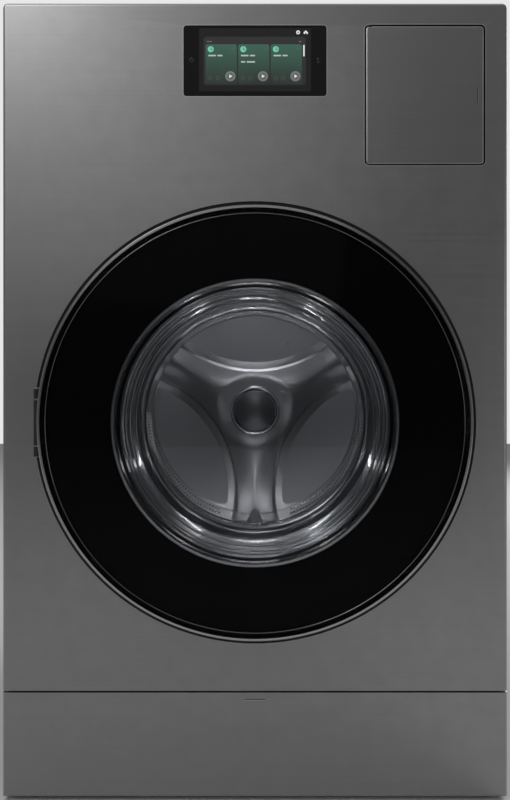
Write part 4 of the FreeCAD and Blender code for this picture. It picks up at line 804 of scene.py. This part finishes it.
hub_y = plate_front - arm_height(0.0, 0.06, 0.06)
ring = [(hub_y + 0.004, 0.0), (hub_y + 0.004, 0.058), (hub_y, 0.0575)]
ring += [(hub_y - 0.007 * math.sin(a), 0.0530 + 0.0042 * math.cos(a)) for a in map(math.radians, range(10, 180, 20))]
ring += [(hub_y - 0.0005, 0.0482), (hub_y - 0.0003, 0.0)]
ring_finish = metal("polished hub ring", (0.62, 0.63, 0.65), 0.2, (60.0, 60.0, 60.0), dust=0.0)
keep("drum_hub_ring", capped(ring, 96, drum_axis.z), "drum", ring_finish, True)
cap = [(hub_y - rise, radius) for rise, radius in (
    (-0.0002, 0.0), (-0.0002, 0.0466), (0.0030, 0.0462), (0.0042, 0.0445), (0.0046, 0.0))]
cap_finish = metal("dark hub cap", (0.13, 0.132, 0.138), 0.4, (60.0, 60.0, 60.0), dust=0.0)
keep("drum_hub_cap", capped(cap, 96, drum_axis.z), "drum", cap_finish, True)
print("hub ring and cap done")

# %% [markdown]
# ## The rubber bellows of the door seal
# The seal joins the still front of the cabinet to the tub, which shakes on its springs. It is one
# moulded ring with two deep folds, so that it can shear up and down without pulling. In the machine
# its front is held by the cabinet and its rear by the tub; here it is one fixed turned mesh that rides
# on no body.

# %% Door seal
def smoothed(points, times=2):
    """Rounds a closed profile by cutting its corners."""
    for _ in range(times):
        cut = []
        for (y0, r0), (y1, r1) in zip(points, points[1:] + points[:1]):
            cut += [(0.75 * y0 + 0.25 * y1, 0.75 * r0 + 0.25 * r1), (0.25 * y0 + 0.75 * y1, 0.25 * r0 + 0.75 * r1)]
        points = cut
    return points


seal_low, seal_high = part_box("door_gasket")
seal_z = (seal_low.z + seal_high.z) / 2
seal_long = seal_high.y - seal_low.y
# Each point is a share of the seal's length and of its outer radius.
fold_out = [(0.0, 0.988), (0.1, 0.988), (0.11, 0.972), (0.035, 0.972), (0.036, 0.952), (0.2, 0.945), (0.31, 0.934),
            (0.4, 0.918), (0.47, 0.986), (0.57, 0.99), (0.66, 0.926), (0.71, 0.926), (0.79, 0.978), (0.9, 0.999),
            (1.0, 0.999)]
fold_in = [(1.0, 0.974), (0.91, 0.974), (0.81, 0.962), (0.74, 0.91), (0.63, 0.908), (0.55, 0.972), (0.49, 0.97),
           (0.42, 0.9), (0.31, 0.912), (0.2, 0.922), (0.0, 0.935)]
seal_profile = smoothed([(seal_low.y + y * seal_long, r * seal_high.x) for y, r in fold_out + fold_in])
seal = keep("door_seal_bellows", turned(seal_profile, 160, seal_z), None, finishes["seal_rubber"], True)
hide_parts("door_gasket")
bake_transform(seal)
print("seal folds:", len(seal.data.polygons), "faces")

# %% [markdown]
# ## The springs that the tub hangs on
# Each spring is one steel wire, wound close and pulled a little open by the tub's weight, with a hook
# at each end. A spiral with a round section is exactly how the wire runs, so Geometry Nodes draws it.
# In the machine the top hook hangs from the cabinet's shelf and the lower one from the tub; here both
# springs are one fixed mesh that rides on no body.

# %% Springs
spring_low, spring_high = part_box("tub_springs")
reach_y = (spring_high.y - spring_low.y) / 2
spring_values = {
    "Coil Radius": reach_y - 0.003, "Wire Radius": 0.0019, "Turns": 13.0, "Low": spring_low.z + 0.0005,
    "High": spring_high.z - 0.0005, "Apart": spring_high.x - reach_y, "Middle": (spring_low.y + spring_high.y) / 2,
}


def make_spring_rule():
    tree, given, target = rule("tub springs", spring_values)
    work, at = partial(calc, tree), partial(vector, tree)
    tall, radius, y = work("SUBTRACT", given["High"], given["Low"]), given["Coil Radius"], given["Middle"]
    coil = add(tree, "CurveSpiral", {"Resolution": 14, "Rotations": given["Turns"], "Start Radius": radius,
                                     "End Radius": radius, "Height": work("MULTIPLY", tall, 0.72)})[0]
    wires = []
    for side in (-1, 1):
        x = work("MULTIPLY", given["Apart"], side)
        rim_x = work("ADD", x, radius)
        base = work("MULTIPLY_ADD", tall, 0.14, given["Low"])
        wires.append(add(tree, "Transform", {0: coil, "Translation": at(x, y, base)})[0])
        for low_x, low_share, high_x, high_share in ((x, 0.0, rim_x, 0.16), (rim_x, 0.84, x, 1.0)):
            low_z, high_z = (work("MULTIPLY_ADD", tall, share, given["Low"]) for share in (low_share, high_share))
            wires.append(add(tree, "CurvePrimitiveBezierSegment", {
                "Resolution": 12, "Start": at(low_x, y, low_z), "End": at(high_x, y, high_z),
                "Start Handle": at(low_x, y, work("ADD", low_z, 0.006)),
                "End Handle": at(high_x, y, work("SUBTRACT", high_z, 0.006))})[0])
    swept(tree, joined(tree, *wires), given["Wire Radius"], 8, finishes["spring_steel"], target, **{"Fill Caps": True})
    return tree


springs = keep("tub_spring_coils", grown(make_spring_rule(), spring_values), None, finishes["spring_steel"],
               True)
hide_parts("tub_springs")
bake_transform(springs)

# %% [markdown]
# ## Screws and vent hoods on the back
# The rear sheet is held by screws around its border. Each is a domed head whose pressed cross is
# drawn as two thin near-black bars on top of it, painted shade for the recess; the screw is made once
# and placed by a list of points. The vents get pressed hoods, short sloping lips over each slot that
# throw water off.

# %% Screws
screw_steel = metal("zinc screw", (0.6, 0.58, 0.5), 0.35, (300.0, 300.0, 300.0))
rear_low, rear_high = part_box("rear_panel")
rear_screws = {
    "Columns": 5, "Lines": 7, "Wide": rear_high.x - rear_low.x - 0.02, "High": rear_high.z - rear_low.z - 0.02,
    "Face": rear_high.y, "Middle Height": (rear_high.z + rear_low.z) / 2, "Head": 0.0042,
}


def make_screw_rule():
    tree, given, target = rule("pan head screws", rear_screws)
    work = partial(calc, tree)
    grid = add(tree, "MeshGrid", {"Size X": given["Wide"], "Size Y": given["High"],
                                  "Vertices X": given["Columns"], "Vertices Y": given["Lines"]})[0]
    stood = add(tree, "Transform", {0: grid, "Rotation": (math.radians(90), 0, 0),
                                    "Translation": vector(tree, 0.0, given["Face"], given["Middle Height"])})[0]
    place = add(tree, "ShaderNodeSeparateXYZ", {0: add(tree, "InputPosition")[0]})
    height = work("SUBTRACT", place["Z"], given["Middle Height"])
    inner_x, inner_z = (work("LESS_THAN", work("ABSOLUTE", away), work("MULTIPLY", reach, 0.49))
                        for away, reach in ((place["X"], given["Wide"]), (height, given["High"])))
    border = add(tree, "DeleteGeometry", {"Geometry": stood, "Selection": work("MULTIPLY", inner_x, inner_z)},
                 domain="POINT")[0]
    top = work("MULTIPLY", given["Head"], 0.62)
    head = add(tree, "MeshCone", {"Vertices": 12, "Fill Segments": 1, "Side Segments": 2, "Depth": 0.0016,
                                  "Radius Bottom": given["Head"], "Radius Top": top})[0]
    bar = add(tree, "MeshCube", {"Size": (0.0044, 0.0009, 0.0002)})[0]
    cross = [add(tree, "Transform", {0: bar, "Translation": (0, 0, 0.0016), "Rotation": (0, 0, math.radians(turn))})[0]
             for turn in (0.0, 90.0)]
    # The cross bars carry painted shade, where a real cross would be a shaded recess.
    stamp = joined(tree, painted_with(tree, head, screw_steel), painted_with(tree, joined(tree, *cross), recess_painted_shade))
    stamp_out(tree, border, stamp, vector(tree, 0.0, 1.0, 0.0), target)
    return tree


keep("rear_panel_screws", grown(make_screw_rule(), rear_screws), "cabinet", screw_steel)

# %% Vent hoods
hood_values = {
    "Columns": 3, "Lines": 8, "Column Step": 0.15, "Line Step": 0.013, "Left": -0.2,
    "Lowest": cad_box[1].z - 0.184, "Face": rear_high.y, "Hood Width": 0.104, "Hood Depth": 0.0045,
}


def make_hood_rule():
    tree, given, target = rule("vent hoods", hood_values)
    work = partial(calc, tree)
    index = add(tree, "InputIndex")[0]
    column = work("FLOOR", work("DIVIDE", index, given["Lines"]))
    row = work("MODULO", index, given["Lines"])
    spot = vector(tree, work("MULTIPLY_ADD", column, given["Column Step"], given["Left"]), given["Face"],
                  work("MULTIPLY_ADD", row, given["Line Step"], given["Lowest"]))
    points = counted(tree, spot, work("MULTIPLY", given["Columns"], given["Lines"]))
    ridge = add(tree, "MeshCone", {"Vertices": 20, "Radius Top": 0.0, "Fill Segments": 1, "Side Segments": 3,
                                   "Radius Bottom": 1.0, "Depth": 1.0})[0]
    size = vector(tree, work("MULTIPLY", given["Hood Width"], 0.5), 0.0035, given["Hood Depth"])
    hood = painted_with(tree, add(tree, "Transform", {0: ridge, "Scale": size})[0], finishes["zinc_steel"])
    stamp_out(tree, points, hood, vector(tree, 0.0, 1.0, 0.0), target)
    return tree


keep("rear_vent_hoods", grown(make_hood_rule(), hood_values), "cabinet", finishes["zinc_steel"], True)

# %% [markdown]
# ## Small parts that tell how it is used
# Two short lines pressed in the steel say where to push the drawer and the filter door. Each is drawn
# as a near-black line of painted shade with a pale line of painted highlight beside it. Where the
# sheet is cut for the screen and the filter door, the light caught by the cut edge is drawn as a fine
# bright line, a painted highlight. Thin plates and bands lying a twentieth of a millimetre proud of the
# face draw all of these.

# %% Push marks
# Painted shade and painted highlight: the near-black line stands for the shade in a pressed groove, and the pale metal
# line for light on the groove's edge and on cut edges.
groove_painted_shade = moulded("pressed mark", (0.012, 0.012, 0.013), 0.5, dust=0.0)
edge_painted_highlight = metal("lit edge of a pressed mark", (0.6, 0.6, 0.61), 0.3)
drawer_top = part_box("drawer_front")[1].z
filter_low, filter_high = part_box("filter_door")
door_x, door_z = (filter_low.x + filter_high.x) / 2, (filter_low.z + filter_high.z) / 2
marks = {
    "drawer": (rounded(0.0, drawer_top - 0.0092, 0.028, 0.0012, 0.0005),
               rounded(0.0, drawer_top - 0.0102, 0.028, 0.0006, 0.0002)),
    "filter_door": (rounded(filter_high.x - 0.009, door_z, 0.0010, 0.021, 0.0004),
                    rounded(filter_high.x - 0.0081, door_z, 0.0005, 0.021, 0.0002)),
}
for body, (dark, light) in marks.items():
    # The first plate of each pair is painted shade, the second a painted highlight.
    dark, light = (prisms([line], front_y - rise, front_y + 0.0002) for line, rise in ((dark, 0.00006), (light, 0.00005)))
    keep(body + "_push_mark", dark, body, groove_painted_shade)
    keep(body + "_push_mark_highlight", light, body, edge_painted_highlight)
print("push marks done")

# %% Painted highlights on cut-out edges
CUT, LINE, HINGE_CLEAR = 0.0015, 0.0009, 0.009
near, far = front_y - 0.00005, front_y + 0.0003


def frame_pair(x, z, wide, high, corner, band):
    return rounded(x, z, wide, high, corner), rounded(x, z, wide - 2 * band, high - 2 * band, corner - band)


def from_hinge(outline, start):
    """An outline without its side next to the hinge, where there is no room for it to swing."""
    side = sorted((p for p in outline if p[0] > door_x), key=lambda p: p[1])
    return [(start, side[0][1])] + side + [(start, side[-1][1])]


door_wide, door_tall = filter_high.x - filter_low.x, filter_high.z - filter_low.z
glass_wide, glass_tall = glass_high.x - glass_low.x, glass_high.z - glass_low.z
# Painted highlight: bright bands around the screen's and the filter door's cut-outs stand for light caught by the cut
# edges.
cut_edge_highlights = [
    frame_pair(door_x, door_z, door_wide + 2 * (CUT + LINE), door_tall + 2 * (CUT + LINE), 0.0074, LINE),
    frame_pair(screen.x, screen.z, glass_wide + 2 * LINE, glass_tall + 2 * LINE, 0.0049, LINE * 0.8),
]
keep("cut_out_edge_highlights", bands(cut_edge_highlights, near, far), "cabinet", edge_painted_highlight)
# Painted highlight along the filter door's own edge, except next to its hinge.
door_edge = [from_hinge(outline, filter_low.x + HINGE_CLEAR)
             for outline in frame_pair(door_x, door_z, door_wide - 0.002, door_tall - 0.002, 0.004, LINE)]
keep("filter_door_edge_highlight", bands([door_edge], near, far + 0.0006, False), "filter_door", edge_painted_highlight)
print("cut-out edges done")

# %% [markdown]
# ## The mesh of the lint filter
# The filter's side windows are covered by woven mesh that stops the lint. A grid of fine threads is
# a rule of two counts and two sizes: Geometry Nodes turns a grid's edges into round threads.

# %% Filter mesh
thread_white = moulded("filter thread", (0.5, 0.52, 0.55), 0.5)
lint_low, lint_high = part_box("lint_filter")
mesh_values = {
    "Across": 15, "Up": 52, "Long": 0.036, "Tall": lint_high.z - lint_low.z - 0.028, "Thread": 0.00022,
    "Side": 0.0, "Start": front_y + 0.062, "Step": 0.044, "Low": (lint_low.z + lint_high.z) / 2,
}


def make_mesh_rule():
    tree, given, target = rule("woven filter mesh", mesh_values)
    grid = add(tree, "MeshGrid", {"Size X": given["Long"], "Size Y": given["Tall"],
                                  "Vertices X": given["Across"], "Vertices Y": given["Up"]})[0]
    windows = []
    for number in range(4):
        along = calc(tree, "MULTIPLY_ADD", given["Step"], float(number), given["Start"])
        spot = vector(tree, given["Side"], along, given["Low"])
        windows.append(add(tree, "Transform", {0: grid, "Rotation": (math.radians(90), 0, math.radians(90)),
                                               "Translation": spot})[0])
    threads = add(tree, "MeshToCurve", {0: joined(tree, *windows)})[0]
    swept(tree, threads, given["Thread"], 4, thread_white, target)
    return tree


mesh_rule = make_mesh_rule()
for side, x in (("left", lint_low.x + 0.001), ("right", lint_high.x - 0.001)):
    woven = grown(mesh_rule, mesh_values | {"Side": x})
    keep("lint_filter_mesh_" + side, woven, "lint_filter", thread_white)

# %% [markdown]
# ## Symbols, coloured rings and lit glass edges
# The refill lids carry a drop and a flower in place of words. A ring of colour on each water inlet
# says hot or cold. The door glass has a ground bevel around its rim, and the glass bowl was pressed
# in steps. The light that these catch is painted: each bright line is a thin turned ring of light
# metal, a painted highlight, on the bevel and on each step.

# %% Symbols on the refill lids
LID_FACE = 0.0047


def flower(x, y):
    petals = [(x + 0.0072 * math.cos(t), y + 0.0072 * math.sin(t)) for t in
              (math.tau * k / 5 + math.pi / 2 for k in range(5))]
    return [disc(px, py, 0.0038, 16) for px, py in petals] + [disc(x, y, 0.0028, 16)]


def drop(x, y):
    belly = [(x + 0.008 * math.cos(t), y - 0.004 + 0.008 * math.sin(t))
             for t in (math.radians(30 - 240 * k / 16) for k in range(17))]
    return [[(x, y + 0.013)] + belly]


symbol_grey = moulded("printed symbol grey", (0.14, 0.16, 0.18), 0.5, dust=0.1)
for lid, symbol in (("detergent_lid", drop), ("softener_lid", flower)):
    low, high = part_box(lid)
    face = low.z + LID_FACE
    flat = prisms(symbol((low.x + high.x) / 2, (low.y + high.y) / 2 - 0.006), face - 0.0002, face + 0.0002)
    flat.transform(Matrix(((1, 0, 0, 0), (0, 0, 1, 0), (0, 1, 0, 0), (0, 0, 0, 1))))
    flat.flip_normals()
    keep(lid + "_symbol", flat, lid, symbol_grey)
print("lid symbols done")

# %% Inlet rings
mounts = {row["name"]: row for row in frame["record"]["mounts"]}
outside = rear_high.y + 0.0003
ring_section = [(outside + dy, r) for dy, r in (
    (0.0, 0.0142), (0.0, 0.021), (0.0018, 0.0205), (0.0024, 0.019), (0.0024, 0.0142))]
inlets = {"water_inlet_left": moulded("hot water red", (0.45, 0.02, 0.015), 0.4),
          "water_inlet_right": moulded("cold water blue", (0.02, 0.08, 0.4), 0.4)}
for name, finish in inlets.items():
    spot = Vector(mounts[name]["pos_m"])
    ring = turned(ring_section, 48, spot.z)
    ring.transform(Matrix.Translation((spot.x, 0, 0)))
    keep(name + "_ring", ring, "cabinet", finish)
print("inlet rings done")

# %% Door bevel and bowl steps
bevel_r = (door_high.x - door_low.x) / 2
bevel = [(door_low.y + dy, bevel_r + dr) for dy, dr in (
    (-0.0001, -0.0072), (-0.0001, -0.0064), (0.0004, -0.0064), (0.0004, -0.0072))]
# Painted highlight: a thin ring of grey metal stands for the light caught by the glass's ground bevel.
bevel_highlight_finish = metal("painted highlight on the ground glass edge", (0.2, 0.2, 0.205), 0.18, contrast=0.05, dust=0.0)
keep("door_glass_bevel_highlight", turned(bevel, 192, door_axis.z), "door", bevel_highlight_finish, True)
STEP_LINE = 0.0007
# Painted highlight: thin rings of pale metal stand for the light caught by each step of the pressed glass.
step_highlight_finish = metal("painted highlight on the steps of the pressed glass", (0.5, 0.51, 0.53), 0.14, (60.0, 60.0, 60.0), dust=0.0)
bowl_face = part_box("door_bowl")[0].y
made = bmesh.new()
for depth, radius in ((0.0085, 0.1798), (0.0125, 0.1794), (0.024, 0.1783), (0.045, 0.1762), (0.075, 0.1732)):
    line = [(bowl_face + depth + STEP_LINE * math.cos(a), radius - 0.0006 + STEP_LINE * math.sin(a))
            for a in (math.tau * k / 8 for k in range(8))]
    made.from_mesh(turned(line, 160, door_axis.z))
keep("door_bowl_step_highlights", frozen(made, "steps"), "door", step_highlight_finish, True)
print("bevel and steps done")
